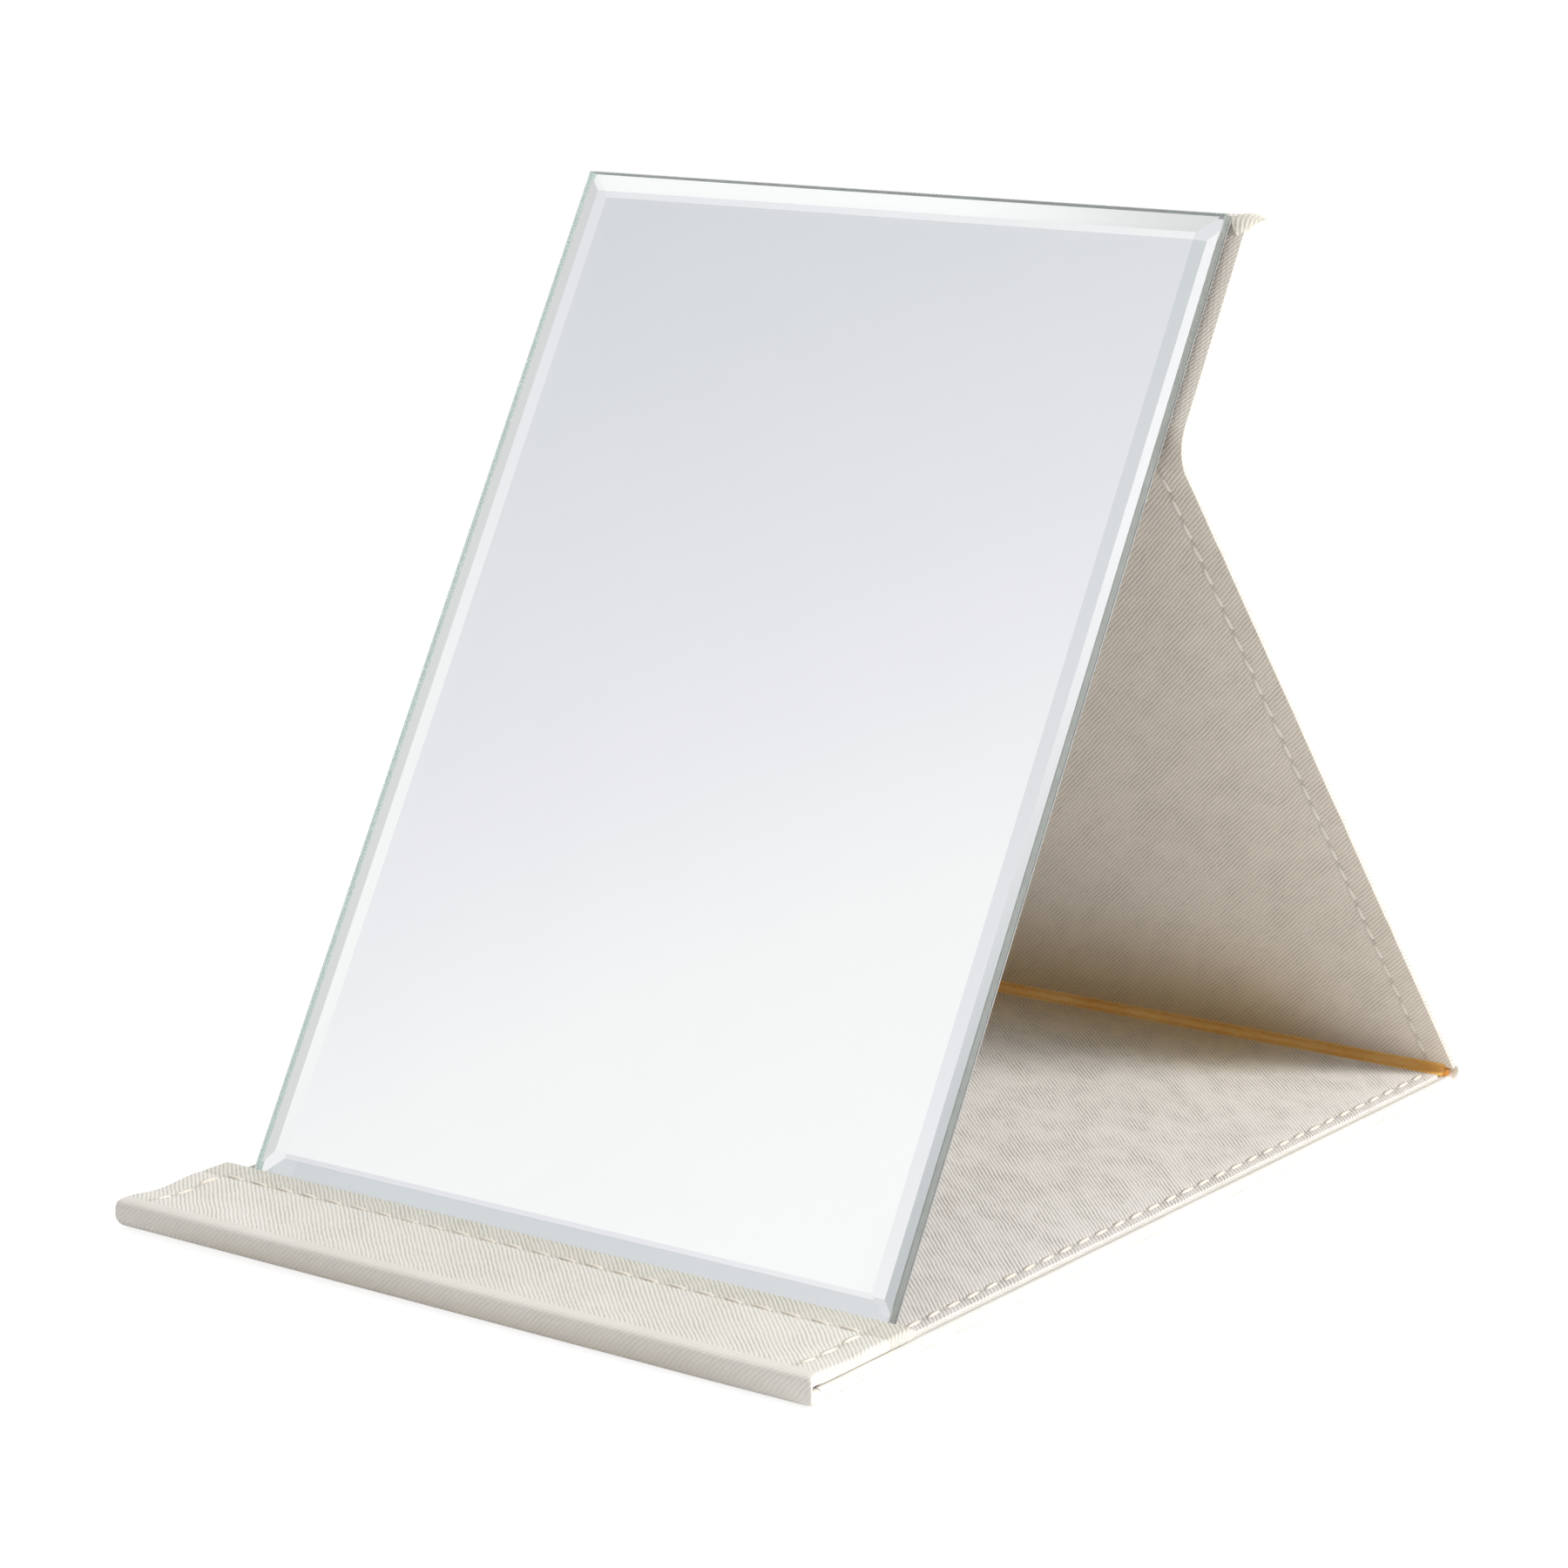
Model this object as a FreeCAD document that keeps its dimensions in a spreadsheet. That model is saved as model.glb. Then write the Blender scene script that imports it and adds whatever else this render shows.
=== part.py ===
"""Folding makeup mirror that stands like an easel, in millimetres.

Four stiff boards, each wrapped in an outer cover and an inner lining, form one strip that folds
across X: flap, base, strut and upper panel. The strut narrows towards the upper panel, which
carries a bevelled glass, whose foot stands on the base against the flap. Each panel is drawn flat
in a frame of its own, where y runs along the strip and z = 0 is the middle of its thickness, cover
below and lining above. The folds then turn these frames into the standing pose. The origin is the
middle of the footprint, on the surface that the mirror stands on, with +Y to the rear and +Z up.
"""
import FreeCAD, Part
import os
import Sketcher

# Driving dimensions
SIZES = {
    "cover_width": 170.0,
    "upper_width": 163.2,
    "board_thickness": 1.8,
    "cover_thickness": 0.6,
    "lining_thickness": 0.6,
    "base_length": 246.0,
    "strut_length": 194.0,
    "upper_height": 50.3,
    "flap_depth": 32.8,
    "flap_gap": 0.3,
    "front_board_setback": 4.0,
    "rear_bend": 0.9,
    "upper_bend": 2.1,
    "glass_width": 157.0,
    "glass_height": 224.5,
    "glass_drop": 2.3,
    "glass_thickness": 3.0,
    "bevel_width": 4.8,
    "bevel_depth": 1.0,
    "silver_thickness": 0.2,
    "backing_thickness": 0.4,
    "tape_thickness": 1.2,
    "tape_margin": 6.0,
    "foot_lift": 0.3,
    "foot_clearance": 0.1,
    "thread_width": 0.6,
    "thread_depth": 0.3,
    "seam_inset": 5.0,
    "strut_seam_inset": 5.1,
    "edge_seam_inset": 7.5,
    "stitch_gap": 1.5,
    "magnet_radius": 5.0,
    "magnet_thickness": 1.2,
    "magnet_spacing": 110.0,
    "magnet_inset": 11.0,
    "keeper_thickness": 0.8,
    "keeper_inset": 11.0,
    "magnet_clearance": 0.1,
}

# Values that follow from the driving dimensions
LAYOUT = {
    "panel": "Sizes.board_thickness + Sizes.cover_thickness + Sizes.lining_thickness",
    "half_panel": "panel / 2",
    "half_width": "Sizes.cover_width / 2",
    "inner_half_width": "half_width - Sizes.cover_thickness",
    "upper_half_width": "Sizes.upper_width / 2",
    "inner_upper_half_width": "upper_half_width - Sizes.cover_thickness",
    "nose_radius": "panel + Sizes.flap_gap / 2",
    "flap_edge": "nose_radius - Sizes.flap_depth",
    "glass_land": "Sizes.glass_thickness - Sizes.bevel_depth",
    "edge_thickness": "Sizes.backing_thickness + Sizes.silver_thickness + glass_land",
    "axis_depth": "Sizes.tape_thickness + half_panel",
    "glass_top": "Sizes.upper_height - Sizes.glass_drop",
    "foot_to_axis": "Sizes.glass_height - glass_top",
    "foot_drop": "panel + Sizes.foot_lift - half_panel",
    "foot_span": "Sizes.base_length - Sizes.flap_depth - edge_thickness - Sizes.foot_clearance",
    "chord": "sqrt(foot_span ^ 2 + foot_drop ^ 2)",
    "arm": "sqrt(foot_to_axis ^ 2 + axis_depth ^ 2)",
    "foot_angle": "acos((chord ^ 2 + arm ^ 2 - Sizes.strut_length ^ 2) / (2 * chord * arm))",
    "tilt": "foot_angle - atan(foot_drop / foot_span) + atan(axis_depth / foot_to_axis)",
    "axis_rise": "foot_drop + foot_to_axis * sin(tilt) - axis_depth * cos(tilt)",
    "strut_angle": "asin(axis_rise / Sizes.strut_length)",
    "rear_turn": "180 deg - strut_angle",
    "upper_turn": "180 deg - strut_angle - tilt",
    "rear_radius": "Sizes.rear_bend + half_panel",
    "rear_setback": "rear_radius / tan(strut_angle / 2)",
    "rear_hinge_radius": "rear_radius + half_panel - Sizes.cover_thickness / 2",
    "base_end": "Sizes.base_length - rear_setback",
    "upper_radius": "Sizes.upper_bend + half_panel",
    "upper_setback": "upper_radius * tan(upper_turn / 2)",
    "strut_end": "Sizes.strut_length - upper_setback",
    "overall_length": "base_end + rear_radius + half_panel",
    "back_face": "half_panel + Sizes.tape_thickness",
    "silver_face": "back_face + Sizes.backing_thickness",
    "glass_face": "silver_face + Sizes.silver_thickness",
    "bevel_face": "glass_face + glass_land",
    "front_face": "glass_face + Sizes.glass_thickness",
    "board_face": "Sizes.cover_thickness - half_panel",
    "lining_face": "half_panel - Sizes.lining_thickness",
    "seam_line": "half_width - Sizes.seam_inset",
    "narrower_half_width": "min(half_width; upper_half_width)",
    "strut_seam_line": "narrower_half_width - Sizes.strut_seam_inset",
}

doc = FreeCAD.newDocument("folding_makeup_mirror")
X_AXIS = FreeCAD.Vector(1, 0, 0)
Y_AXIS = FreeCAD.Vector(0, 1, 0)
nodes = []


def make_sheet(name, cells):
    """A sheet with one aliased cell for each entry."""
    sheet = doc.addObject("Spreadsheet::Sheet", name)
    for row, (alias, content) in enumerate(cells.items(), start=1):
        sheet.set(f"A{row}", str(content))
        sheet.setAlias(f"A{row}", alias)
        doc.recompute()
    return sheet


def value(sheet, alias):
    """A cell's number, in millimetres or degrees."""
    content = sheet.get(alias)
    return float(getattr(content, "Value", content))


def add_node(item, label, placement):
    """Names a sub-part, puts it in place and keeps it for the export."""
    item.Label = label
    item.Placement = placement
    nodes.append(item)


def add_sketch(body, name, height):
    """A sketch on the body's XY plane, raised to a height given as an expression."""
    plane = next(item for item in body.Origin.OriginFeatures if item.Role == "XY_Plane")
    sketch = body.newObject("Sketcher::SketchObject", name)
    sketch.AttachmentSupport = (plane, [""])
    sketch.MapMode = "FlatFace"
    sketch.setExpression("AttachmentOffset.Base.z", height)
    return sketch


def draw_rectangle(sketch, left, right, low, high):
    """A rectangle whose sides lie at four signed distances from the origin, as expressions."""
    start = 10.0
    corners = [(-start, -start), (start, -start), (start, start), (-start, start)]
    points = [FreeCAD.Vector(x, y, 0) for x, y in corners]
    first = sketch.GeometryCount
    for index in range(4):
        sketch.addGeometry(Part.LineSegment(points[index], points[(index + 1) % 4]), False)
    for index in range(4):
        following = first + (index + 1) % 4
        sketch.addConstraint(Sketcher.Constraint("Coincident", first + index, 2, following, 1))
        direction = "Vertical" if index % 2 else "Horizontal"
        sketch.addConstraint(Sketcher.Constraint(direction, first + index))
    sides = [("DistanceX", first, -start, left), ("DistanceY", first, -start, low),
             ("DistanceX", first + 2, start, right), ("DistanceY", first + 2, start, high)]
    for kind, line, distance, expression in sides:
        number = sketch.addConstraint(Sketcher.Constraint(kind, -1, 1, line, 1, distance))
        sketch.setExpression(f"Constraints[{number}]", expression)


def draw_panel(sketch, widths, low, high):
    """A panel's outline, by its half-widths at its low and high ends, all given as expressions."""
    start = 10.0
    corners = [(-start, -start), (start, -start), (start, start), (-start, start)]
    points = [FreeCAD.Vector(x, y, 0) for x, y in corners]
    for index in range(4):
        sketch.addGeometry(Part.LineSegment(points[index], points[(index + 1) % 4]), False)
    for index in range(4):
        sketch.addConstraint(Sketcher.Constraint("Coincident", index, 2, (index + 1) % 4, 1))
    half_low, half_high = widths
    across = [f"-{half_low}", half_low, half_high, f"-{half_high}"]
    along = [low, low, high, high]
    for index in range(4):
        for kind, distance, expression in (("DistanceX", corners[index][0], across[index]),
                                           ("DistanceY", corners[index][1], along[index])):
            number = sketch.addConstraint(Sketcher.Constraint(kind, -1, 1, index, 1, distance))
            sketch.setExpression(f"Constraints[{number}]", expression)


def draw_circle(sketch, across, along, radius):
    """A circle with its centre at two signed distances from the origin, as expressions."""
    start = 10.0
    centre = FreeCAD.Vector(start, start, 0)
    circle = sketch.addGeometry(Part.Circle(centre, FreeCAD.Vector(0, 0, 1), start), False)
    for kind, expression in (("DistanceX", across), ("DistanceY", along)):
        number = sketch.addConstraint(Sketcher.Constraint(kind, -1, 1, circle, 3, start))
        sketch.setExpression(f"Constraints[{number}]", expression)
    number = sketch.addConstraint(Sketcher.Constraint("Radius", circle, start))
    sketch.setExpression(f"Constraints[{number}]", radius)


def pad(body, sketch, thickness):
    """Raises a sketch by a thickness given as an expression."""
    feature = body.newObject("PartDesign::Pad", sketch.Name + "_pad")
    feature.Profile = sketch
    feature.setExpression("Length", thickness)
    doc.recompute()


def pocket(body, sketch, depth, upwards=False):
    """Cuts a sketch into the body, downwards unless told otherwise, and tests that it cut."""
    before = body.Shape.Volume
    feature = body.newObject("PartDesign::Pocket", sketch.Name + "_pocket")
    feature.Profile = sketch
    feature.Reversed = upwards
    feature.setExpression("Length", depth)
    doc.recompute()
    if not body.Shape.Volume < before:
        raise RuntimeError(sketch.Name + " cuts nothing")


def slab(name, outline, height, thickness):
    """A body padded from one rectangle, given as left, right, low and high."""
    body = doc.addObject("PartDesign::Body", name)
    sketch = add_sketch(body, name + "_outline", height)
    draw_rectangle(sketch, *outline)
    pad(body, sketch, thickness)
    return body


def layer(name, widths, low, high, height, thickness):
    """A body padded from a panel's outline."""
    body = doc.addObject("PartDesign::Body", name)
    sketch = add_sketch(body, name + "_outline", height)
    draw_panel(sketch, widths, low, high)
    pad(body, sketch, thickness)
    return body


def cover(name, widths, inside_widths, ends, inside_ends, placement):
    """An outer cover: a flat sheet whose side edges, and any free end, turn up round the board."""
    body = layer(name, widths, *ends, "-Layout.half_panel", "Layout.panel")
    sketch = add_sketch(body, name + "_inside", "Layout.half_panel")
    draw_panel(sketch, inside_widths, *inside_ends)
    pocket(body, sketch, "Layout.panel - Sizes.cover_thickness")
    add_node(body, name, placement)
    return body


def board(name, inside_widths, low, high, placement):
    """A stiff board that fills the cover from side to side."""
    body = layer(name, inside_widths, low, high, "Layout.board_face", "Sizes.board_thickness")
    add_node(body, name, placement)
    return body


def lining(name, inside_widths, low, high, placement):
    """An inner lining, flush with the cover's turned edges."""
    body = layer(name, inside_widths, low, high, "Layout.lining_face", "Sizes.lining_thickness")
    add_node(body, name, placement)
    return body


def side_seams(line, low, high):
    """Outlines of the two seams along a panel's sides, each about a line given as an expression."""
    near = f"{line} - Sizes.thread_width / 2"
    far = f"{line} + Sizes.thread_width / 2"
    return [(near, far, low, high), (f"-({far})", f"-({near})", low, high)]


def seam(name, panel_sheet, outlines, on_lining, placement):
    """Sewing thread along the given outlines, flush in grooves pressed into the panel's sheet."""
    face = "Layout.half_panel" if on_lining else "-Layout.half_panel"
    sketch = add_sketch(panel_sheet, name + "_groove", face)
    for outline in outlines:
        draw_rectangle(sketch, *outline)
    pocket(panel_sheet, sketch, "Sizes.thread_depth", upwards=not on_lining)
    runs = []
    for left, right, low, high in outlines:
        run = doc.addObject("Part::Box", name + "_run")
        run.setExpression("Length", f"({right}) - ({left})")
        run.setExpression("Width", f"({high}) - ({low})")
        run.setExpression("Height", "Sizes.thread_depth")
        run.setExpression("Placement.Base.x", left)
        run.setExpression("Placement.Base.y", low)
        run.setExpression("Placement.Base.z", face + (" - Sizes.thread_depth" if on_lining else ""))
        runs.append(run)
    group = doc.addObject("Part::Compound", name)
    group.Links = runs
    add_node(group, name, placement)


def disc_pair(name, holder, along, thickness, face, upwards, placement):
    """Two discs across the width, sunk into round pockets of a board, flush with one of its faces."""
    sketch = add_sketch(holder, name + "_pockets", face)
    for side in ("", "-"):
        across = f"{side}Sizes.magnet_spacing / 2"
        draw_circle(sketch, across, along, "Sizes.magnet_radius + Sizes.magnet_clearance")
    pocket(holder, sketch, thickness, upwards)
    discs = []
    for side in ("", "-"):
        disc = doc.addObject("Part::Cylinder", name + "_disc")
        disc.setExpression("Radius", "Sizes.magnet_radius")
        disc.setExpression("Height", thickness)
        disc.setExpression("Placement.Base.x", f"{side}Sizes.magnet_spacing / 2")
        disc.setExpression("Placement.Base.y", along)
        disc.setExpression("Placement.Base.z", face if upwards else f"{face} - {thickness}")
        discs.append(disc)
    group = doc.addObject("Part::Compound", name)
    group.Links = discs
    add_node(group, name, placement)


def fold_sheet(name, inner_radius, outer_radius, half_width, turn, placement):
    """A sheet bent round a fold: a ring sector whose axis lies along X and starts pointing down."""
    sector = doc.addObject("Part::Cylinder", name + "_sector")
    sector.setExpression("Radius", outer_radius)
    sector.setExpression("Angle", turn)
    core = doc.addObject("Part::Cylinder", name + "_core")
    core.setExpression("Radius", inner_radius)
    for item in (sector, core):
        item.setExpression("Height", f"2 * {half_width}")
        item.setExpression("Placement.Base.z", f"-{half_width}")
    ring = doc.addObject("Part::Cut", name)
    ring.Base = sector
    ring.Tool = core
    add_node(ring, name, placement * FreeCAD.Placement(FreeCAD.Vector(), FreeCAD.Rotation(Y_AXIS, 90)))


def turned(y, z, angle):
    """A frame at (0, y, z) that is turned about X by an angle in degrees."""
    return FreeCAD.Placement(FreeCAD.Vector(0, y, z), FreeCAD.Rotation(X_AXIS, angle))


sizes = make_sheet("Sizes", SIZES)
layout = make_sheet("Layout", {alias: "=" + formula for alias, formula in LAYOUT.items()})

# Frames of the four panels in the standing pose
front = -value(layout, "overall_length") / 2
half_panel = value(layout, "half_panel")
nose_radius = value(layout, "nose_radius")
base_frame = turned(front, half_panel, 0)
strut_frame = base_frame * turned(value(sizes, "base_length"), 0, value(layout, "rear_turn"))
upper_frame = strut_frame * turned(value(sizes, "strut_length"), 0, -value(layout, "upper_turn"))
flap_frame = turned(front + nose_radius, 2 * nose_radius - half_panel, 180)

# Half-widths at both ends of a panel, outside and inside its cover
wide = ("Layout.half_width", "Layout.half_width")
wide_inside = ("Layout.inner_half_width", "Layout.inner_half_width")
narrowing = ("Layout.half_width", "Layout.upper_half_width")
narrowing_inside = ("Layout.inner_half_width", "Layout.inner_upper_half_width")
narrow = ("Layout.upper_half_width", "Layout.upper_half_width")
narrow_inside = ("Layout.inner_upper_half_width", "Layout.inner_upper_half_width")

# Base: open towards both of its folds
base_ends = ("Layout.nose_radius", "Layout.base_end")
base_board_start = "Layout.nose_radius + Sizes.front_board_setback"
cover("base_cover", wide, wide_inside, base_ends, base_ends, base_frame)
board("base_board", wide_inside, base_board_start, "Layout.base_end", base_frame)
base_lining = lining("base_lining", wide_inside, *base_ends, base_frame)
seam("base_seam", base_lining, side_seams("Layout.seam_line", *base_ends), True, base_frame)

# Strut: open towards both of its folds
strut_ends = ("Layout.rear_setback", "Layout.strut_end")
cover("strut_cover", narrowing, narrowing_inside, strut_ends, strut_ends, strut_frame)
board("strut_board", narrowing_inside, *strut_ends, strut_frame)
strut_lining = lining("strut_lining", narrowing_inside, *strut_ends, strut_frame)
seam("strut_seam", strut_lining, side_seams("Layout.strut_seam_line", *strut_ends), True, strut_frame)

# Upper panel: its top edge is wrapped
upper_ends = ("Layout.upper_setback", "Sizes.upper_height")
upper_inside = ("Layout.upper_setback", "Sizes.upper_height - Sizes.cover_thickness")
upper_cover = cover("upper_cover", narrow, narrow_inside, upper_ends, upper_inside, upper_frame)
upper_board = board("upper_board", narrow_inside, *upper_inside, upper_frame)
lining("upper_lining", narrow_inside, *upper_inside, upper_frame)
upper_seam_end = "Sizes.upper_height - Sizes.edge_seam_inset"
upper_seams = side_seams("Layout.strut_seam_line", "Layout.upper_setback", upper_seam_end)
seam("upper_seam", upper_cover, upper_seams, False, upper_frame)
disc_pair("keeper_plates", upper_board, "Sizes.upper_height - Sizes.keeper_inset", "Sizes.keeper_thickness",
          "Layout.board_face", True, upper_frame)

# Flap: its free edge is wrapped
flap_inside = "Layout.flap_edge + Sizes.cover_thickness"
flap_ends = ("Layout.flap_edge", "0")
flap_cover = cover("flap_cover", wide, wide_inside, flap_ends, (flap_inside, "0"), flap_frame)
flap_board = board("flap_board", wide_inside, flap_inside, "-Sizes.front_board_setback", flap_frame)
lining("flap_lining", wide_inside, flap_inside, "0", flap_frame)
edge_seam_low = "Layout.flap_edge + Sizes.edge_seam_inset"
edge_seam_high = f"{edge_seam_low} + Sizes.thread_width"
edge_seam_half = "Layout.seam_line - Sizes.stitch_gap"
flap_seams = side_seams("Layout.seam_line", edge_seam_low, "0")
flap_seams.append((f"-({edge_seam_half})", edge_seam_half, edge_seam_low, edge_seam_high))
seam("flap_seam", flap_cover, flap_seams, False, flap_frame)
disc_pair("flap_magnets", flap_board, "Layout.flap_edge + Sizes.magnet_inset", "Sizes.magnet_thickness",
          "Layout.board_face + Sizes.board_thickness", False, flap_frame)

# Folds: cover and lining run on round each bend, with no board between them
nose_centre = turned(front + nose_radius, nose_radius, 180)
fold_sheet("front_fold_cover", "Layout.nose_radius - Sizes.cover_thickness", "Layout.nose_radius",
           "Layout.half_width", "180", nose_centre)
fold_sheet("front_fold_lining", "Sizes.flap_gap / 2", "Sizes.flap_gap / 2 + Sizes.lining_thickness",
           "Layout.inner_half_width", "180", nose_centre)
rear_centre = base_frame * turned(value(layout, "base_end"), value(layout, "rear_radius"), 0)
fold_sheet("rear_fold_cover", "Layout.rear_radius + Layout.half_panel - Sizes.cover_thickness",
           "Layout.rear_radius + Layout.half_panel", "Layout.half_width", "Layout.rear_turn", rear_centre)
fold_sheet("rear_fold_lining", "Layout.rear_radius - Layout.half_panel",
           "Layout.rear_radius - Layout.half_panel + Sizes.lining_thickness",
           "Layout.half_width", "Layout.rear_turn", rear_centre)
upper_centre = upper_frame * turned(value(layout, "upper_setback"), -value(layout, "upper_radius"), 180)
fold_sheet("upper_fold_cover", "Layout.upper_radius - Layout.half_panel",
           "Layout.upper_radius - Layout.half_panel + Sizes.cover_thickness",
           "Layout.upper_half_width", "Layout.upper_turn", upper_centre)
fold_sheet("upper_fold_lining", "Layout.upper_radius + Layout.half_panel - Sizes.lining_thickness",
           "Layout.upper_radius + Layout.half_panel",
           "Layout.inner_upper_half_width", "Layout.upper_turn", upper_centre)

# Mirror: a bevelled glass, silvered and backed, taped to the upper panel
tape_half = "Sizes.glass_width / 2 - Sizes.tape_margin"
tape_low = "Layout.upper_setback + Sizes.tape_margin"
tape_high = "Layout.glass_top - Sizes.tape_margin"
tape_outline = (f"-({tape_half})", tape_half, tape_low, tape_high)
tape = slab("mirror_tape", tape_outline, "Layout.half_panel", "Sizes.tape_thickness")
add_node(tape, "mirror_tape", upper_frame)
plate = ("-Sizes.glass_width / 2", "Sizes.glass_width / 2", "-Layout.foot_to_axis", "Layout.glass_top")
backing = slab("mirror_backing", plate, "Layout.back_face", "Sizes.backing_thickness")
add_node(backing, "mirror_backing", upper_frame)
silvering = slab("mirror_silvering", plate, "Layout.silver_face", "Sizes.silver_thickness")
add_node(silvering, "mirror_silvering", upper_frame)
glass = slab("mirror_glass", plate, "Layout.glass_face", "Layout.glass_land")
arris = add_sketch(glass, "glass_arris", "Layout.bevel_face")
draw_rectangle(arris, *plate)
face = add_sketch(glass, "glass_front", "Layout.front_face")
face_half = "Sizes.glass_width / 2 - Sizes.bevel_width"
draw_rectangle(face, f"-({face_half})", face_half,
               "-Layout.foot_to_axis + Sizes.bevel_width", "Layout.glass_top - Sizes.bevel_width")
bevel = glass.newObject("PartDesign::AdditiveLoft", "glass_bevel")
bevel.Profile = arris
bevel.Sections = [face]
bevel.Ruled = True
add_node(glass, "mirror_glass", upper_frame)

doc.recompute()
for item in doc.Objects:
    if "Invalid" in item.State or "Error" in item.State:
        raise RuntimeError(f"{item.Label} failed: {item.State}")
for item in nodes:
    if item.Shape.isNull() or not item.Shape.isValid() or not item.Shape.Solids:
        raise RuntimeError(f"{item.Label} has no valid solid")
os.makedirs("parts", exist_ok=True)
for item in nodes:
    item.Shape.exportStep(f"parts/{item.Label}.step")
    print(f"{item.Label}: {len(item.Shape.Solids)} solids, {item.Shape.Volume:.1f} mm3")
# The rear and front folds turn about their outer covers, the upper fold about the panels' middle
half_turn = turned(0, 0, value(layout, "rear_turn") / 2)
rear_hinge = rear_centre * half_turn * turned(0, -value(layout, "rear_hinge_radius"), 0)
front_hinge = turned(front, nose_radius, 0)
for name, frame in (("rear hinge", rear_hinge), ("upper hinge", upper_frame), ("front hinge", front_hinge)):
    print(f"{name}: y {frame.Base.y:.4f}, z {frame.Base.z:.4f}")
for name in ("tilt", "strut_angle", "rear_turn", "upper_turn", "overall_length"):
    print(f"{name}: {value(layout, name):.4f}")
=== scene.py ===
"""Looks of the folding makeup mirror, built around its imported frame, in metres.

The folder is one strip of cloth-covered boards: flap, base, strut and upper panel. Each skin is a
closed section carried along the strip, straight on a panel and bent at a fold. A panel has a frame
of its own, where x runs across, y along the strip, and z from the cover (below) to the lining.
"""
import math
from collections import namedtuple

import bpy
import numpy as np
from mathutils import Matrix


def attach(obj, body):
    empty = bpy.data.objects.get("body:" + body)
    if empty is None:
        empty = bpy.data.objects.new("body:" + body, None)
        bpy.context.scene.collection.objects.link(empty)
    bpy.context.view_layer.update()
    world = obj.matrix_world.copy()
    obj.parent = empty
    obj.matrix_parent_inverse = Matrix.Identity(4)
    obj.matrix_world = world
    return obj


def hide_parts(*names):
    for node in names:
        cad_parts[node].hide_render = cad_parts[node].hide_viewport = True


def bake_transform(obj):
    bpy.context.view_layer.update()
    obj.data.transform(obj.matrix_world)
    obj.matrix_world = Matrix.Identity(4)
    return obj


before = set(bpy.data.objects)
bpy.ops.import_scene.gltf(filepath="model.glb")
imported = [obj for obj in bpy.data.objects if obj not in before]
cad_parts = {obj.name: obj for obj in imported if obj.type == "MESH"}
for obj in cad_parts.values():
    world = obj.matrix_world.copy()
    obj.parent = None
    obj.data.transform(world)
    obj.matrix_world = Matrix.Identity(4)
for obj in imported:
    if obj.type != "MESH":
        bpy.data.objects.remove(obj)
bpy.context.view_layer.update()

MM = 0.001
WEAVE_MAP = "weave"

# Lengths along the strip and the angles of the standing pose
FRONT = -122.4918 * MM
BASE_LENGTH = 246.0 * MM
STRUT_LENGTH = 194.0 * MM
UPPER_TOP = 50.3 * MM
FLAP_EDGE = -29.65 * MM
NOSE_DEPTH = 3.15 * MM
NOSE_BACK = FRONT + NOSE_DEPTH
STRUT_ANGLE = math.radians(52.0394)
TILT = math.radians(59.781)
REAR_TURN = math.pi - STRUT_ANGLE
UPPER_TURN = math.pi - STRUT_ANGLE - TILT

# Heights of a panel's layers and the places of its edges
HALF_PANEL = 1.5 * MM
COVER_FACE = -HALF_PANEL
COVER_TOP = 1.2 * MM
LINING_BED = 1.0 * MM
LINING_FACE = HALF_PANEL
HALF_WIDTH = 85.0 * MM
UPPER_HALF_WIDTH = 81.6 * MM
COVER_CORNER = 0.95 * MM
LINING_CORNER = 0.2 * MM
COVER_ROUND = 1.25 * MM
LINING_ROUND = 0.4 * MM
CORNER_POINTS = 6
RIM_GROOVE = 83.1 * MM
RIM_GROOVE_DEPTH = 0.27 * MM
RIM_GAP = 0.9 * MM
RIM_WIDTH = 0.8 * MM
RIM_RISE = 0.28 * MM
BASE_SEAM = 79.0 * MM
STRUT_SEAM = 78.6 * MM
FULL_LINING = 84.75 * MM
INSET_LINING = 81.9 * MM

# Folds
REAR_OUTER = 3.9 * MM
STRUT_START = (REAR_OUTER - HALF_PANEL) / math.tan(STRUT_ANGLE / 2)
BASE_END = BASE_LENGTH - STRUT_START
REAR_CENTRE = (FRONT + BASE_END, REAR_OUTER)
UPPER_BEND = 5.5 * MM
UPPER_SETBACK = (UPPER_BEND + HALF_PANEL) * math.tan(UPPER_TURN / 2)
STRUT_END = STRUT_LENGTH - UPPER_SETBACK

# Panels: origin along Y and Z, turn about X, both ends, share of the full width at both ends, the
# seam's line, and half the lining's width; lines and lining are given on the full width
Panel = namedtuple("Panel", "origin_y origin_z turn low high low_share high_share seam lining")
UPPER_AXIS_Y = FRONT + BASE_LENGTH - STRUT_LENGTH * math.cos(STRUT_ANGLE)
UPPER_AXIS_Z = HALF_PANEL + STRUT_LENGTH * math.sin(STRUT_ANGLE)
NARROW = UPPER_HALF_WIDTH / HALF_WIDTH
BASE = Panel(FRONT, HALF_PANEL, 0.0, NOSE_DEPTH, BASE_END, 1.0, 1.0, BASE_SEAM, INSET_LINING)
STRUT = Panel(FRONT + BASE_LENGTH, HALF_PANEL, REAR_TURN, STRUT_START, STRUT_END, 1.0, NARROW,
              STRUT_SEAM, FULL_LINING)
UPPER = Panel(UPPER_AXIS_Y, UPPER_AXIS_Z, TILT, UPPER_SETBACK, UPPER_TOP, NARROW, NARROW,
              STRUT_SEAM, FULL_LINING)
FLAP = Panel(NOSE_BACK, 4.8 * MM, math.pi, FLAP_EDGE, 0.0, 1.0, 1.0, BASE_SEAM, INSET_LINING)


# Shapes

def smooth(t):
    """Smoothstep: 0 below 0, 1 above 1, with level ends."""
    t = np.clip(t, 0.0, 1.0)
    return t * t * (3.0 - 2.0 * t)


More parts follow.
